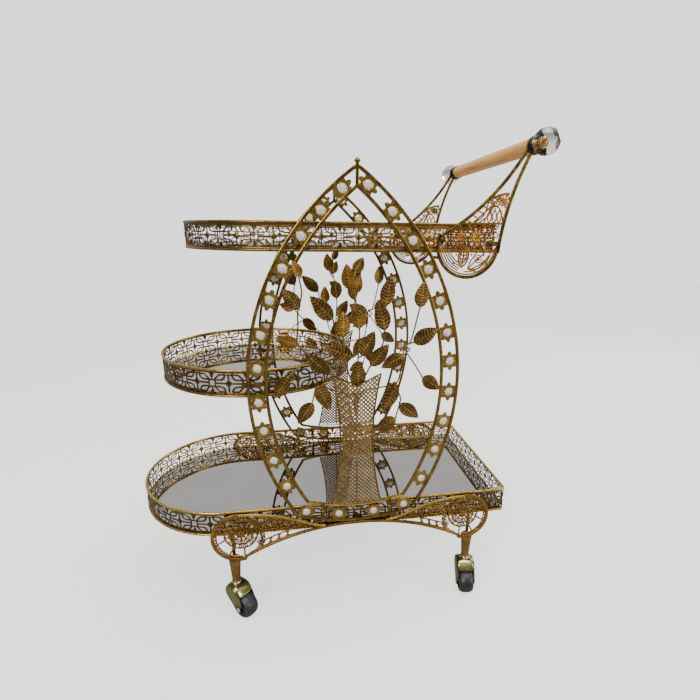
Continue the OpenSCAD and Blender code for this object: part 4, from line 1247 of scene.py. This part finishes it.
def bead_at(g, x, z, r, mat=0, n=10):
    v, f = lathe([(0, 0.75 * r + 0.5), (0.6 * r, 0.55 * r + 0.5), (r, 0.2), (r, -0.4), (0.6 * r, -0.9), (0, -0.9)], (x, z, 0), (0, 0, 1), n)
    g.add(v, f, mat)


def lattice(g, inside, x0, x1, z0, z1, pitch, r, tube=1.15, seed=0):
    """Fills a region with rings that touch each other; every third holds a bead, every third a small cross."""
    rows = int((z1 - z0) / (pitch * 0.866)) + 1
    cols = int((x1 - x0) / pitch) + 2
    for i in range(rows):
        for j in range(cols):
            x = x0 + pitch * (j + (0.5 if i % 2 else 0.0))
            z = z0 + pitch * 0.866 * i
            if not inside(x, z):
                continue
            k = (i * 2 + j + seed) % 3
            ring_at(g, x, z, r, tube)
            if k == 0:
                bead_at(g, x, z, r * 0.48)
            elif k == 1:
                for a in (20, 140, 260):
                    q = math.radians(a + 40 * (i % 3))
                    v, f = ribbon([(x, z), (x + r * math.cos(q), z + r * math.sin(q))], ell(0.95, 0.8, 6))
                    g.add(v, f)


def pin(g, x0, z0, x1, z1, prof):
    v, f = ribbon([(x0, z0), (x1, z1)], prof)
    g.add(v, f)


def apron_lace_geo():
    g = Geo()
    t1 = ell(1.7, 1.05, 8)
    t2 = ell(1.35, 0.95, 8)
    # round head: rosette of rings about a flower, set a little high and inwards
    cx, cz = HX - 4, HZ + 7
    v, f = ribbon(arc((HX, HZ), 42.3, -97, 22, 40), t1)
    g.add(v, f)
    for r, pr in ((31.0, t1), (21.8, t2), (12.6, t2)):
        v, f = ribbon(arc((cx, cz), r, 0, 360, 72)[:-1], pr, closed=True)
        g.add(v, f)
    flower2(g, cx, cz, 11.0, 8, 0.0)
    flower2(g, cx, cz, 5.5, 6, 1.4)
    for i in range(9):
        a = math.radians(i * 40 + 10)
        x, z = cx + 17.2 * math.cos(a), cz + 17.2 * math.sin(a)
        ring_at(g, x, z, 4.4)
        bead_at(g, x, z, 2.3)
        a += math.radians(20)
        bead_at(g, cx + 15.0 * math.cos(a), cz + 15.0 * math.sin(a), 1.7)
        bead_at(g, cx + 20.0 * math.cos(a), cz + 20.0 * math.sin(a), 1.5)
    for i in range(15):
        a = math.radians(i * 24)
        x, z = cx + 26.4 * math.cos(a), cz + 26.4 * math.sin(a)
        ring_at(g, x, z, 3.9)
        if i % 2:
            bead_at(g, x, z, 1.9)
        a += math.radians(12)
        bead_at(g, cx + 29.3 * math.cos(a), cz + 29.3 * math.sin(a), 1.4)
        bead_at(g, cx + 23.4 * math.cos(a), cz + 23.4 * math.sin(a), 1.3)
    # spokes over the crescents, and a beaded edge between the two outer arcs
    for a in (-100, -62, -18, 10):
        q = math.radians(a)
        pin(g, cx + 30 * math.cos(q), cz + 30 * math.sin(q), HX + 47.5 * math.cos(q), HZ + 47.5 * math.sin(q), t1)
    for i, a in enumerate(np.arange(-92, 20, 9.0)):
        q = math.radians(a)
        bead_at(g, HX + 44.8 * math.cos(q), HZ + 44.8 * math.sin(q), 1.5)

    def in_head(x, z):
        a = math.degrees(math.atan2(z - HZ, x - HX))
        return (a > 20 or a < -150) and math.hypot(x - cx, z - cz) > 34.6 and math.hypot(x - HX, z - HZ) < HR - 1.0

    lattice(g, in_head, HX - 48, HX + 48, HZ - 20, HZ + 48, 7.4, 3.5)
    # left edge of the head, which has no bar of its own: a beaded ring line down to the crown bar
    for a in np.arange(100, 236, 8.5):
        q = math.radians(a)
        ring_at(g, HX + 45.0 * math.cos(q), HZ + 45.0 * math.sin(q), 3.6)
        if int(a) % 2:
            bead_at(g, HX + 45.0 * math.cos(q), HZ + 45.0 * math.sin(q), 1.7)
    # row of windows along the crown bar
    path = [(w, crown(w) + 15.5) for w in np.linspace(126, 186, 24)]
    v, f = ribbon(path, ell(1.7, 0.95, 8))
    g.add(v, f)
    path = [(w, crown(w) + 3.6) for w in np.linspace(96, 208, 40)]
    v, f = ribbon(path, t2)
    g.add(v, f)
    for w in (184.5, 167.8, 151.5, 135.0):
        c = crown(w)
        v, f = ribbon(spline([(w - 0.6, c + 1.5), (w, c + 8.5), (w + 1.2, c + 15.5)], 4), ell(1.9, 0.95, 8))
        g.add(v, f)
        bead_at(g, w + 0.2, c + 9.0, 2.6)
        for d in (-3.2, 3.2):
            bead_at(g, w + d, c + 5.2, 1.5)
            bead_at(g, w + d + 0.8, c + 13.4, 1.5)
    # dense tail above the windows, up to the wing wire
    def in_tail(x, z):
        if x < 84 or x > 186:
            return False
        low = crown(x) + (20.0 if x > 129 else 5.6)
        if math.hypot(x - HX, z - HZ) < 47.5:
            return False
        return low < z < wing(x) - 3.2

    lattice(g, in_tail, 80, 192, 188, 240, 7.2, 3.4, seed=1)
    path = [(w, min(wing(w) - 4.6, wing(w) - 4.6)) for w in np.linspace(100, 196, 40)]
    v, f = ribbon(path, t2)
    g.add(v, f)
    for w in np.arange(84, 100, 5.0):
        bead_at(g, w, (crown(w) + wing(w)) / 2, 2.0)
    return g


AF, AL = apron_frame_geo(), apron_lace_geo()
cr_half = math.degrees(math.asin(218 / 453.9))
for name, fn, sy in SIDES:
    g = Geo()
    both(AF, g, fn)
    v, f = ribbon(arc((0, 189.0 - 453.9), 453.9, 90 + cr_half, 90 - cr_half, 80), rrect(2.6, 2.2, 1.0, 3))
    g.add(fn(v), f)
    # the far apron's bars and lace take the lighter copy of the apron metal, which is painted light
    g.build(f"{name}_apron_bars", "trolley", [GOLD_APRON if sy < 0 else GOLD_FAR_PAINTED_LIGHT, GOLD_BRIGHT_HIGHLIGHT], "arch_metal", [f"{name}_apron_frame"])
    g = Geo()
    both(AL, g, fn)
    g.build(f"{name}_apron_lace", "trolley", [GOLD_APRON if sy < 0 else GOLD_FAR_PAINTED_LIGHT], "lace_metal", [f"{name}_apron_filigree"])

# ------------------------------------------------------------------ legs and casters
LX, LY = (AX - 240.0, AX + 240.0), 179.0
for sx, nx in ((0, "left"), (1, "right")):
    for sy, ny in ((-1, "front"), (1, "back")):
        g = Geo()
        o = (LX[sx], sy * LY)
        # folded cone: one lap edge runs down its face
        rings = []
        n = 40
        hs = np.linspace(73.0, 125.5, 16)
        for h in hs:
            k = (h - 73.0) / 52.5
            r0 = 8.0 + 3.5 * k ** 1.2
            ring = []
            for j in range(n):
                a = 2 * PI * j / n
                lap = math.radians(-70 + 26 * k) if sy < 0 else math.radians(110 - 26 * k)
                da = (a - lap + PI) % (2 * PI) - PI
                r = r0 + (0.5 * math.exp(-da / 0.9) if da > 0 else 0.0)
                ring.append((o[0] + r * math.cos(a), o[1] + r * math.sin(a), h))
            rings.append(np.array(ring))
        v, f = loft(rings)
        g.add(v, f)
        v, f = lathe([(7.8, 72.9), (8.6, 73.6), (8.6, 75.2), (7.9, 75.9), (7.0, 75.9), (7.0, 72.9)][::-1], (o[0], o[1], 0), (0, 0, 1), 36)
        g.add(v, f)
        # tab up to the tray
        pts = np.array([(-3.2, 117), (3.2, 117), (3.2, 184), (2.4, 185), (-2.4, 185), (-3.2, 184)])
        v, f = plate(pts, 3.0, 0.5)
        g.add(np.stack([o[0] + v[:, 0], o[1] + v[:, 2], v[:, 1]], 1), f)
        g.build(f"{ny}_{nx}_folded_leg", "trolley", [GOLD_LEG], "arch_metal", [f"{ny}_{nx}_leg"])
g = Geo()
for x in LX:
    for y in (-LY, LY):
        v, f = lathe([(0, 61.5), (5.9, 61.5), (6.5, 62.1), (6.5, 63.7), (6.0, 64.2), (4.0, 64.2), (4.0, 68.3), (8.0, 68.3), (8.5, 68.9), (8.5, 70.4), (7.6, 71.4), (7.2, 73.0), (4.0, 73.0), (4.0, 104.6), (3.2, 105.5), (0, 105.5)], (x, y, 0), (0, 0, 1), 40)
        g.add(v, f)
g.build("caster_collars", "trolley", [SILVER], "silver", ["caster_stems"])

HOOD = np.array([(-9, 68), (10, 68), (19, 62), (25, 51), (29, 34), (30, 24), (28, 17.5), (22, 15), (15.5, 17.5), (5, 30), (-10, 42), (-17, 50), (-17, 58), (-14, 64.5)], float)
HOLLOW = np.array([(-9, 64.5), (9, 64.5), (17, 59.5), (22, 50.4), (50, 50.4), (50, 0), (-40, 0), (-9.5, 40.5), (-14, 50), (-14, 60)], float)


def boolean(a, b, op="DIFFERENCE"):
    mod = a.modifiers.new("b", "BOOLEAN")
    mod.operation = op
    mod.solver = "EXACT"
    mod.object = b
    dg = bpy.context.evaluated_depsgraph_get()
    me = bpy.data.meshes.new_from_object(a.evaluated_get(dg))
    a.modifiers.clear()
    old = a.data
    a.data = me
    bpy.data.meshes.remove(old)
    bpy.data.objects.remove(b)


def raw_object(name, verts, faces):
    me = bpy.data.meshes.new(name)
    me.from_pydata([tuple(p) for p in np.asarray(verts) * MM], [], faces)
    bm = bmesh.new()
    bm.from_mesh(me)
    bmesh.ops.recalc_face_normals(bm, faces=bm.faces)
    bm.to_mesh(me)
    bm.free()
    ob = bpy.data.objects.new(name, me)
    bpy.context.scene.collection.objects.link(ob)
    return ob


def round_poly(p, r, k=4):
    """Rounds every corner of a closed outline."""
    p = np.asarray(p, float)
    out = []
    n = len(p)
    for i in range(n):
        a, b, c = p[i - 1], p[i], p[(i + 1) % n]
        u, w = a - b, c - b
        lu, lw = np.linalg.norm(u), np.linalg.norm(w)
        rr = min(r, lu * 0.45, lw * 0.45)
        s, e = b + u / lu * rr, b + w / lw * rr
        for j in range(k + 1):
            t = j / k
            out.append((1 - t) ** 2 * s + 2 * t * (1 - t) * b + t * t * e)
    return np.array(out)


TURN = {"front_left": (-1, -1, -43), "front_right": (1, -1, -99), "back_left": (-1, 1, -50), "back_right": (1, 1, -85)}
for key, (sx, sy, deg) in TURN.items():
    ox, oy = AX + sx * 240.0, sy * LY
    ca, sa = math.cos(math.radians(deg)), math.sin(math.radians(deg))

    def place(v, ox=ox, oy=oy, ca=ca, sa=sa):
        v = np.asarray(v, float)
        return np.stack([ox + v[:, 0] * ca - v[:, 1] * sa, oy + v[:, 0] * sa + v[:, 1] * ca, v[:, 2]], 1)

    # hood: its outline is pulled in towards both cheeks for a rounded, pressed shape
    out = round_poly(HOOD, 5.0, 4)
    rings = []
    zz = np.clip((out[:, 1] - 26.0) / 32.0, 0.0, 1.0)
    share = (0.10 + 0.90 * zz * zz * (3 - 2 * zz))[:, None]
    half = ((19.5, 7.2), (19.3, 5.4), (18.8, 4.0), (18.0, 2.8), (16.8, 1.8), (15.2, 1.0), (13.0, 0.5), (10.0, 0.2), (6.0, 0.0))
    for y, d in [(-a_, d_) for a_, d_ in half] + [(a_, d_) for a_, d_ in reversed(half)]:
        q = out + (inset(out, d) - out) * share
        rings.append(np.stack([q[:, 0], np.full(len(q), y), q[:, 1]], 1))
    v, f = loft(rings)
    shell = raw_object(f"{key}_hood", v, f)
    hol = round_poly(HOLLOW, 2.5, 3)
    rings = [np.stack([hol[:, 0], np.full(len(hol), y), hol[:, 1]], 1) for y in (-16.2, 16.2)]
    v, f = loft(rings)
    boolean(shell, raw_object("cut", v, f))
    v, f = lathe([(0, 58), (4.4, 58), (4.4, 72), (0, 72)], (0, 0, 0), (0, 0, 1), 32)
    boolean(shell, raw_object("cut", v, f))
    me = shell.data
    co = np.array([vv.co for vv in me.vertices]) * 1000.0
    co = place(co) * MM
    me.vertices.foreach_set("co", co.astype(np.float32).ravel())
    bm = bmesh.new()
    bm.from_mesh(me)
    bmesh.ops.remove_doubles(bm, verts=bm.verts, dist=2e-6)
    bmesh.ops.recalc_face_normals(bm, faces=bm.faces)
    for e in bm.edges:
        if len(e.link_faces) == 2:
            e.smooth = e.calc_face_angle(0.0) < math.radians(38)
    bm.to_mesh(me)
    bm.free()
    me.polygons.foreach_set("use_smooth", [True] * len(me.polygons))
    me.materials.clear()
    me.materials.append(hood_mat(key, ox, oy, deg))
    me.update()
    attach(shell, f"{key}_caster")
    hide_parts(f"{key}_fork")
    # axle with riveted heads
    g = Geo()
    pr = [(0, -21.2), (2.6, -21.2), (4.2, -20.7), (4.8, -19.6), (3.0, -19.6), (3.0, 19.6), (4.8, 19.6), (4.2, 20.7), (2.6, 21.2), (0, 21.2)]
    v, f = lathe(pr, (22, 0, 24), (0, 1, 0), 32)
    g.add(place(v), f)
    g.build(f"{key}_riveted_axle", f"{key}_caster", [SILVER], "silver", [f"{key}_axle"])
    # wheel: rounded tread with two fine grooves, sunk disc and hub
    g = Geo()
    pr = []
    half = [(3.06, 14.5), (6.6, 14.5), (7.2, 13.9), (7.6, 12.0), (8.4, 11.4), (10.5, 11.4), (11.0, 11.1), (14.6, 11.1), (15.6, 11.6), (16.2, 13.0), (17.0, 14.2), (18.0, 14.5),
            (19.4, 14.1), (20.8, 13.1), (22.0, 11.6), (22.9, 9.7), (23.5, 7.4), (23.8, 5.6)]
    pr += [(r, -h) for r, h in half]
    for y0 in (-3.6, 3.6):
        pr += [(24.0 if y0 < 0 else 24.0, y0 - 1.4), (24.0, y0 - 0.45), (23.5, y0 - 0.3), (23.5, y0 + 0.3), (24.0, y0 + 0.45), (24.0, y0 + 1.4)]
    pr += [(r, h) for r, h in reversed(half)]
    v, f = lathe_closed(pr, (22, 0, 24), (0, 1, 0), 72)
    g.add(place(v), f)
    g.build(f"{key}_grooved_wheel", f"{key}_roller", [RUBBER], "wheel_rubber", [f"{key}_wheel"])

# ------------------------------------------------------------------ handle
HXX, HZZ = 353.5, 878.5
BOWL, BR = (250.0, 720.0), 54.0


def xf(v, yc=FY, sy=-1.0):
    """(x, z, w) drawn in real x to a bracket's plane."""
    return np.stack([v[:, 0], sy * (yc + v[:, 2]), v[:, 1]], 1)


def pointed(cx, cz, hw, hh, tilt=0.0, n=9):
    """Pointed oval, as a closed line."""
    r = (hh * hh + hw * hw) / (2 * hw)
    a = math.asin(hh / r)
    t = np.linspace(-a, a, n)
    x = r * np.cos(t) - (r - hw)
    z = r * np.sin(t)
    p = np.array(list(zip(x, z)) + list(zip(-x[::-1], z[::-1]))[1:-1])
    c, q = math.cos(math.radians(tilt)), math.sin(math.radians(tilt))
    return np.stack([cx + p[:, 0] * c - p[:, 1] * q, cz + p[:, 0] * q + p[:, 1] * c], 1)


def bracket_lace():
    g = Geo()
    t1, t2, t3 = ell(1.6, 1.0, 8), ell(1.3, 0.9, 8), ell(2.2, 1.05, 8)

    def add(path, pr, closed=False):
        v, f = ribbon(path, pr, closed)
        g.add(v, f)

    # bowl: thin arcs nested at the left, a leaf rosette, and arcs that fan out of its foot
    for r in (49.0, 45.0, 41.0, 37.0, 33.0):
        add(arc(BOWL, r, 185 + (49 - r) * 0.4, 250, 20), t2)
    add(arc(BOWL, 49.0, 250, 356, 40), t2)
    add(arc(BOWL, 44.6, 264, 338, 30), t2)
    add(arc(BOWL, 40.2, 272, 322, 20), t2)
    for k in (1.0, 0.66):
        add(pointed(243, 701, 9.0 * k, 18.0 * k, -8), t1 if k == 1.0 else t2, True)
    add([(241, 684), (245, 718)], t1)
    for d in (-9, -3, 3, 9):
        add([(243 + d * 0.14, 701 + d - 3), (243 + d * 0.14 + 7.0 * math.cos(d / 11.0), 701 + d + 2)], t2)
        add([(243 + d * 0.14, 701 + d - 3), (243 + d * 0.14 - 7.0 * math.cos(d / 11.0), 701 + d + 2)], t2)
    for ex, ez, bx, bz in ((292, 703, 276, 676), (297, 713, 272, 682), (286, 712, 262, 690), (270, 712, 257, 694)):
        add(spline([(252, 680), (bx, bz), (ex, ez)], 8), t2)
    ring_at(g, 270, 697, 6.4, 1.0, 18)
    bead_at(g, 270, 697, 3.6, n=14)
    for x, z in ((226, 690), (230, 704), (224, 700), (258, 704), (262, 710), (284, 692), (280, 703)):
        bead_at(g, x, z, 1.9)
    # dense lattice in front of the rail, between the two bars
    def in_rail(x, z):
        if not 713.5 < z < 753.5:
            return False
        left = 205.0 + max(0.0, z - 733.0) * 1.35
        right = 299.5 + max(0.0, z - 729.0) * 0.16
        if math.hypot(x - 289.5, z - 722.5) < 10.0 or math.hypot(x - 203, z - 729) < 10.0:
            return False
        return left < x < right

    lattice(g, in_rail, 202, 308, 715, 756, 8.4, 4.1, 1.2)
    add([(204, 712), (236, 711), (296, 711)], t1)
    add([(232, 755.5), (262, 755.5), (308, 755.5)], t1)
    flower2(g, 262, 733, 11, 8, 0.4)
    flower2(g, 236, 733, 9, 8, 0.4)
    # rib beside the inner bar, with rungs that leave a row of windows
    C = np.array((20.0, 1059.0))
    add(arc(C, 383.5, -51.9, -43.6, 16), t1)
    for a in (-53.0, -51.1, -49.3, -47.6, -46.0, -44.4):
        q = np.array((math.cos(math.radians(a)), math.sin(math.radians(a))))
        e = np.array((math.cos(math.radians(a + 0.7)), math.sin(math.radians(a + 0.7))))
        add([C + 374.0 * q, C + 383.5 * e], t2)
    # slanted top edge
    add(spline([(279, 790.6), (290, 796.5), (303, 801.5), (317, 803.5)], 6), t3)
    # tall pointed ovals standing on the rim
    for x in (284.5, 293.5, 302.0):
        add(pointed(x, 766.5, 3.6, 10.5), t2, True)
        bead_at(g, x, 779.0, 1.7)
    # dark cluster under the slanted edge
    flower2(g, 305.5, 791.0, 8.5, 8, 0.4)
    for x, z, r in ((295.5, 787.5, 4.0), (313.0, 785.0, 3.6), (299.5, 797.0, 2.6), (313.5, 797.0, 3.2), (288.0, 789.5, 2.6)):
        ring_at(g, x, z, r)
        bead_at(g, x, z, r * 0.45)
    # ribs that curve up from the rim
    for x0, z0, bx, bz, x1, z1 in ((260, 757, 274, 768, 281, 789), (267, 757, 282, 768, 292, 786), (275, 757, 287, 780, 299, 783), (308, 757, 312, 772, 313.5, 781), (309, 760, 303, 778, 288, 787)):
        add(spline([(x0, z0), (bx, bz), (x1, z1)], 8), t2)
    return g


BRL = bracket_lace()
for name, fn, sy in SIDES:
    g = Geo()
    flat = rrect(3.0, 2.2, 0.9, 3)
    paths = [arc(BOWL, BR, 160, 360, 60), arc((734, 677), 430, 153.0, 176.0, 40), arc((20, 1059), 372, -61.2, -29.9, 40), np.array([(189.5, 700), (201, 698)]), np.array([(289.5, 722.5), (303, 722.5)])]
    for i, p in enumerate(paths):
        pr = flat if i < 3 else rrect(2.5 if i == 3 else 4.0, 2.1, 0.9, 3)
        v, f = ribbon(p, pr)
        g.add(xf(v, FY, sy), f)
    # eye round the handle's rod, and ears for the bolts
    v, f = lathe_closed([(3.3, -2.2), (14.2, -2.2), (15.0, -1.4), (15.0, 1.4), (14.2, 2.2), (3.3, 2.2)], (HXX, sy * FY, HZZ), (0, 1, 0), 48)
    g.add(v, f)
    for lx, lz in ((289.5, 722.5), (203, 729)):
        v, f = lathe_closed([(2.1, -2.2), (6.0, -2.2), (6.5, -1.7), (6.5, 1.7), (6.0, 2.2), (2.1, 2.2)], (lx, sy * FY, lz), (0, 1, 0), 32)
        g.add(v, f)
    g.build(f"{name}_bracket_bars", "trolley", [GOLD], "arch_metal", [f"{name}_bracket"])
    g = Geo()
    g.merge(BRL, lambda v: xf(v, FY, sy))
    g.build(f"{name}_bracket_lace", "trolley", [GOLD_COPPER], "lace_metal", [f"{name}_bracket_filigree"])

# rod: turned wood with eased ends
g = Geo()
pr = [(3.2, -187.0), (12.0, -187.0), (12.7, -186.2), (12.95, -184)]
pr += [(12.95 + 0.05 * math.cos(t * PI / 2), -7.5 + 176.5 * t) for t in np.linspace(-0.98, 0.98, 41)]
pr += [(12.95, 169.5), (12.7, 171.2), (12.2, 172.0), (3.2, 172.0)]
v, f = lathe_closed(pr, (HXX, 0, HZZ), (0, 1, 0), 64)
g.add(v, f)
g.build("turned_rod", "trolley", [WOOD], "rod_wood", ["handle_rod"])
dress("handle_tie_rod", STEEL)
# black collars: a thin one outside the front bracket, a wide one at the far end of the wood
g = Geo()
v, f = lathe_closed([(3.2, 191.4), (14.0, 191.4), (14.5, 191.8), (14.4, 192.6), (13.7, 193.6), (13.3, 194.4), (3.2, 194.4)], (HXX, 0, HZZ), (0, -1, 0), 64)
g.add(v, f)
v, f = lathe_closed([(3.2, 172.0), (13.6, 172.0), (14.3, 172.6), (14.4, 173.4), (14.4, 175.2), (14.2, 176.0), (13.5, 176.5), (3.2, 176.5)], (HXX, 0, HZZ), (0, 1, 0), 64)
g.add(v, f)
g.build("turned_collars", "trolley", [BLACK], "black_gloss", ["handle_collars"])
KR, KY = 21.5, 225.0
y0 = KY - math.sqrt(KR * KR - 121.0)
gn = Geo()
for sy, prn in ((-1, [(3.2, 194.4), (12.6, 194.4), (13.0, 195.6), (12.4, 199.5), (11.2, 204.2), (10.9, y0), (3.2, y0)]),
                (1, [(3.2, 191.4), (12.7, 191.4), (13.0, 192.8), (12.4, 198.0), (11.2, 203.6), (10.9, y0), (3.2, y0)]),
                (1, [(3.2, 176.5), (12.2, 176.5), (12.6, 177.6), (12.0, 182.0), (12.0, 185.8), (11.6, 187.0), (3.2, 187.0)])):
    v, f = lathe_closed(prn, (HXX, 0, HZZ), (0, sy, 0), 12)
    gn.add(v, f)
gn.build("cut_necks", "trolley", [CRYSTAL], "crystal", ["handle_necks"], smooth=12)
gk, gc = Geo(), Geo()
for sy in (-1, 1):
    # ball with flat facets: rings of diamonds that shrink towards the poles
    rows, cols = 11, 16
    V = [(0.0, 0.0, -1.0)]
    for i in range(1, rows):
        th = PI * i / rows
        for j in range(cols):
            a = 2 * PI * (j + (0.5 if i % 2 else 0.0)) / cols
            V.append((math.sin(th) * math.cos(a), math.sin(th) * math.sin(a), -math.cos(th)))
    V.append((0.0, 0.0, 1.0))
    F = []
    for j in range(cols):
        F.append((0, 1 + j, 1 + (j + 1) % cols))
    for i in range(1, rows - 1):
        a0, b0 = 1 + (i - 1) * cols, 1 + i * cols
        for j in range(cols):
            j1 = (j + 1) % cols
            if i % 2:
                F.append((a0 + j, b0 + j1, a0 + j1))
                F.append((a0 + j, b0 + j, b0 + j1))
            else:
                F.append((a0 + j, b0 + j, a0 + j1))
                F.append((a0 + j1, b0 + j, b0 + j1))
    last = 1 + (rows - 2) * cols
    for j in range(cols):
        F.append((len(V) - 1, last + (j + 1) % cols, last + j))
    V = np.array(V) * KR
    gk.add(np.stack([HXX + V[:, 0], sy * (KY + V[:, 2]), HZZ + V[:, 1]], 1), F)
    # screw end seen inside the ball
    v, f = lathe([(0, y0 + 0.5), (4.6, y0 + 0.5), (5.0, y0 + 1.2), (3.6, y0 + 2.4), (3.3, y0 + 8.0), (4.6, y0 + 9.5), (5.2, y0 + 12.0), (4.6, y0 + 14.5), (2.6, y0 + 16.2), (0, y0 + 16.8)], (HXX, 0, HZZ), (0, sy, 0), 24)
    gc.add(v, f)
gk.build("cut_knobs", "trolley", [CRYSTAL], "crystal", ["handle_knobs"], smooth=1)
gc.build("knob_cores", "trolley", [GOLD_COPPER], "arch_metal")

# ------------------------------------------------------------------ floor, light, camera
def floor_mat():
    """Plain pale floor, kept near white in the picture."""
    m, nt, b = new_mat("pale_floor")
    L = nt.links.new
    tc = node_of(nt, "ShaderNodeTexCoord")
    n = node_of(nt, "ShaderNodeTexNoise", Scale=1.2, Detail=3.0)
    L(tc.outputs["Object"], n.inputs["Vector"])
    cr = ramp(nt, [(0.3, (0.36, 0.35, 0.33)), (0.7, (0.38, 0.37, 0.35))])
    L(n.outputs["Fac"], cr.inputs["Fac"])
    L(cr.outputs["Color"], b.inputs["Base Color"])
    b.inputs["Roughness"].default_value = 0.8
    lp = nt.nodes.new("ShaderNodeLightPath")
    up = nt.nodes.new("ShaderNodeMath")
    up.operation = "MULTIPLY"
    up.inputs[1].default_value = 1.3
    L(lp.outputs["Is Camera Ray"], up.inputs[0])
    b.inputs["Emission Color"].default_value = (1.0, 1.0, 1.0, 1.0)
    L(up.outputs[0], b.inputs["Emission Strength"])
    return m


bm = bmesh.new()
bmesh.ops.create_circle(bm, cap_ends=True, radius=9.0, segments=96)
me = bpy.data.meshes.new("floor")
bm.to_mesh(me)
bm.free()
floor = bpy.data.objects.new("floor", me)
me.materials.append(floor_mat())
bpy.context.scene.collection.objects.link(floor)

world = bpy.data.worlds.new("studio")
bpy.context.scene.world = world
world.use_nodes = True
nt = world.node_tree
WL = nt.links.new
bg = nt.nodes["Background"]
tc = nt.nodes.new("ShaderNodeTexCoord")
sep = nt.nodes.new("ShaderNodeSeparateXYZ")
WL(tc.outputs["Generated"], sep.inputs[0])


def world_ramp(axis, stops):
    mr = nt.nodes.new("ShaderNodeMapRange")
    mr.inputs["From Min"].default_value = -1.0
    mr.inputs["From Max"].default_value = 1.0
    WL(sep.outputs[axis], mr.inputs["Value"])
    r = ramp(nt, stops)
    WL(mr.outputs["Result"], r.inputs["Fac"])
    return r


# dim warm room low down, a paler wall behind the trolley and a bright ceiling
low = world_ramp("Z", [(0.0, (0.16, 0.14, 0.12)), (0.5, (0.13, 0.11, 0.09)), (0.62, (0.42, 0.40, 0.38)), (0.80, (0.72, 0.71, 0.70)), (1.0, (1.0, 1.0, 1.0))])
wall = world_ramp("Z", [(0.0, (0.20, 0.18, 0.17)), (0.5, (0.52, 0.49, 0.49)), (0.62, (0.90, 0.88, 0.90)), (0.80, (0.98, 0.97, 0.99)), (1.0, (1.0, 1.0, 1.0))])
side = world_ramp("Y", [(0.0, (0.0, 0.0, 0.0)), (0.52, (0.0, 0.0, 0.0)), (0.72, (1.0, 1.0, 1.0)), (1.0, (1.0, 1.0, 1.0))])
mx = nt.nodes.new("ShaderNodeMix")
mx.data_type = "RGBA"
WL(side.outputs["Color"], mx.inputs["Factor"])
WL(low.outputs["Color"], mx.inputs["A"])
WL(wall.outputs["Color"], mx.inputs["B"])
lp = nt.nodes.new("ShaderNodeLightPath")
seen = nt.nodes.new("ShaderNodeMix")
seen.data_type = "RGBA"
WL(lp.outputs["Is Camera Ray"], seen.inputs["Factor"])
WL(mx.outputs["Result"], seen.inputs["A"])
seen.inputs["B"].default_value = (1.75, 1.75, 1.75, 1.0)
WL(seen.outputs["Result"], bg.inputs["Color"])
bg.inputs["Strength"].default_value = 1.0


def area(name, loc, target, size, power, color=(1, 1, 1), size_y=None):
    ld = bpy.data.lights.new(name, "AREA")
    ld.energy = power
    ld.color = color
    ld.size = size
    if size_y:
        ld.shape = "RECTANGLE"
        ld.size_y = size_y
    lo = bpy.data.objects.new(name, ld)
    lo.location = loc
    lo.rotation_euler = (Vector(target) - Vector(loc)).to_track_quat("-Z", "Y").to_euler()
    bpy.context.scene.collection.objects.link(lo)
    return lo


area("key", (-1.9, -2.6, 2.4), (0, 0, 0.45), 1.2, 80, (1.0, 0.96, 0.88))
area("fill", (2.6, -1.9, 1.2), (0, 0, 0.45), 1.1, 40, (1.0, 0.97, 0.92), 1.8)
area("top", (0.2, -0.5, 3.0), (0, 0, 0.4), 1.6, 60, (1.0, 0.99, 0.96))
area("rim", (2.9, 1.1, 2.0), (0, 0, 0.5), 1.2, 45, (1.0, 0.96, 0.88))

cam_d = bpy.data.cameras.new("camera")
cam = bpy.data.objects.new("camera", cam_d)
yaw, pitch, roll = math.radians(10.213), math.radians(17.667), math.radians(-0.762)
fwd = Vector((math.sin(yaw) * math.cos(pitch), math.cos(yaw) * math.cos(pitch), -math.sin(pitch)))
right = Vector((math.cos(yaw), -math.sin(yaw), 0.0))
down = fwd.cross(right)
r2 = right * math.cos(roll) + down * math.sin(roll)
d2 = down * math.cos(roll) - right * math.sin(roll)
rot = Matrix((r2, -d2, -fwd)).transposed()
cam.matrix_world = Matrix.Translation(Vector((-0.0557, -0.9683, 0.7375))) @ rot.to_4x4()
cam_d.sensor_fit = "HORIZONTAL"
cam_d.sensor_width = 36.0
cam_d.lens = 459.71 / 700.0 * 36.0
cam_d.shift_x = (350.0 - 371.31) / 700.0
cam_d.shift_y = (379.52 - 350.0) / 700.0
cam_d.clip_start = 0.02
bpy.context.scene.collection.objects.link(cam)
bpy.context.scene.camera = cam
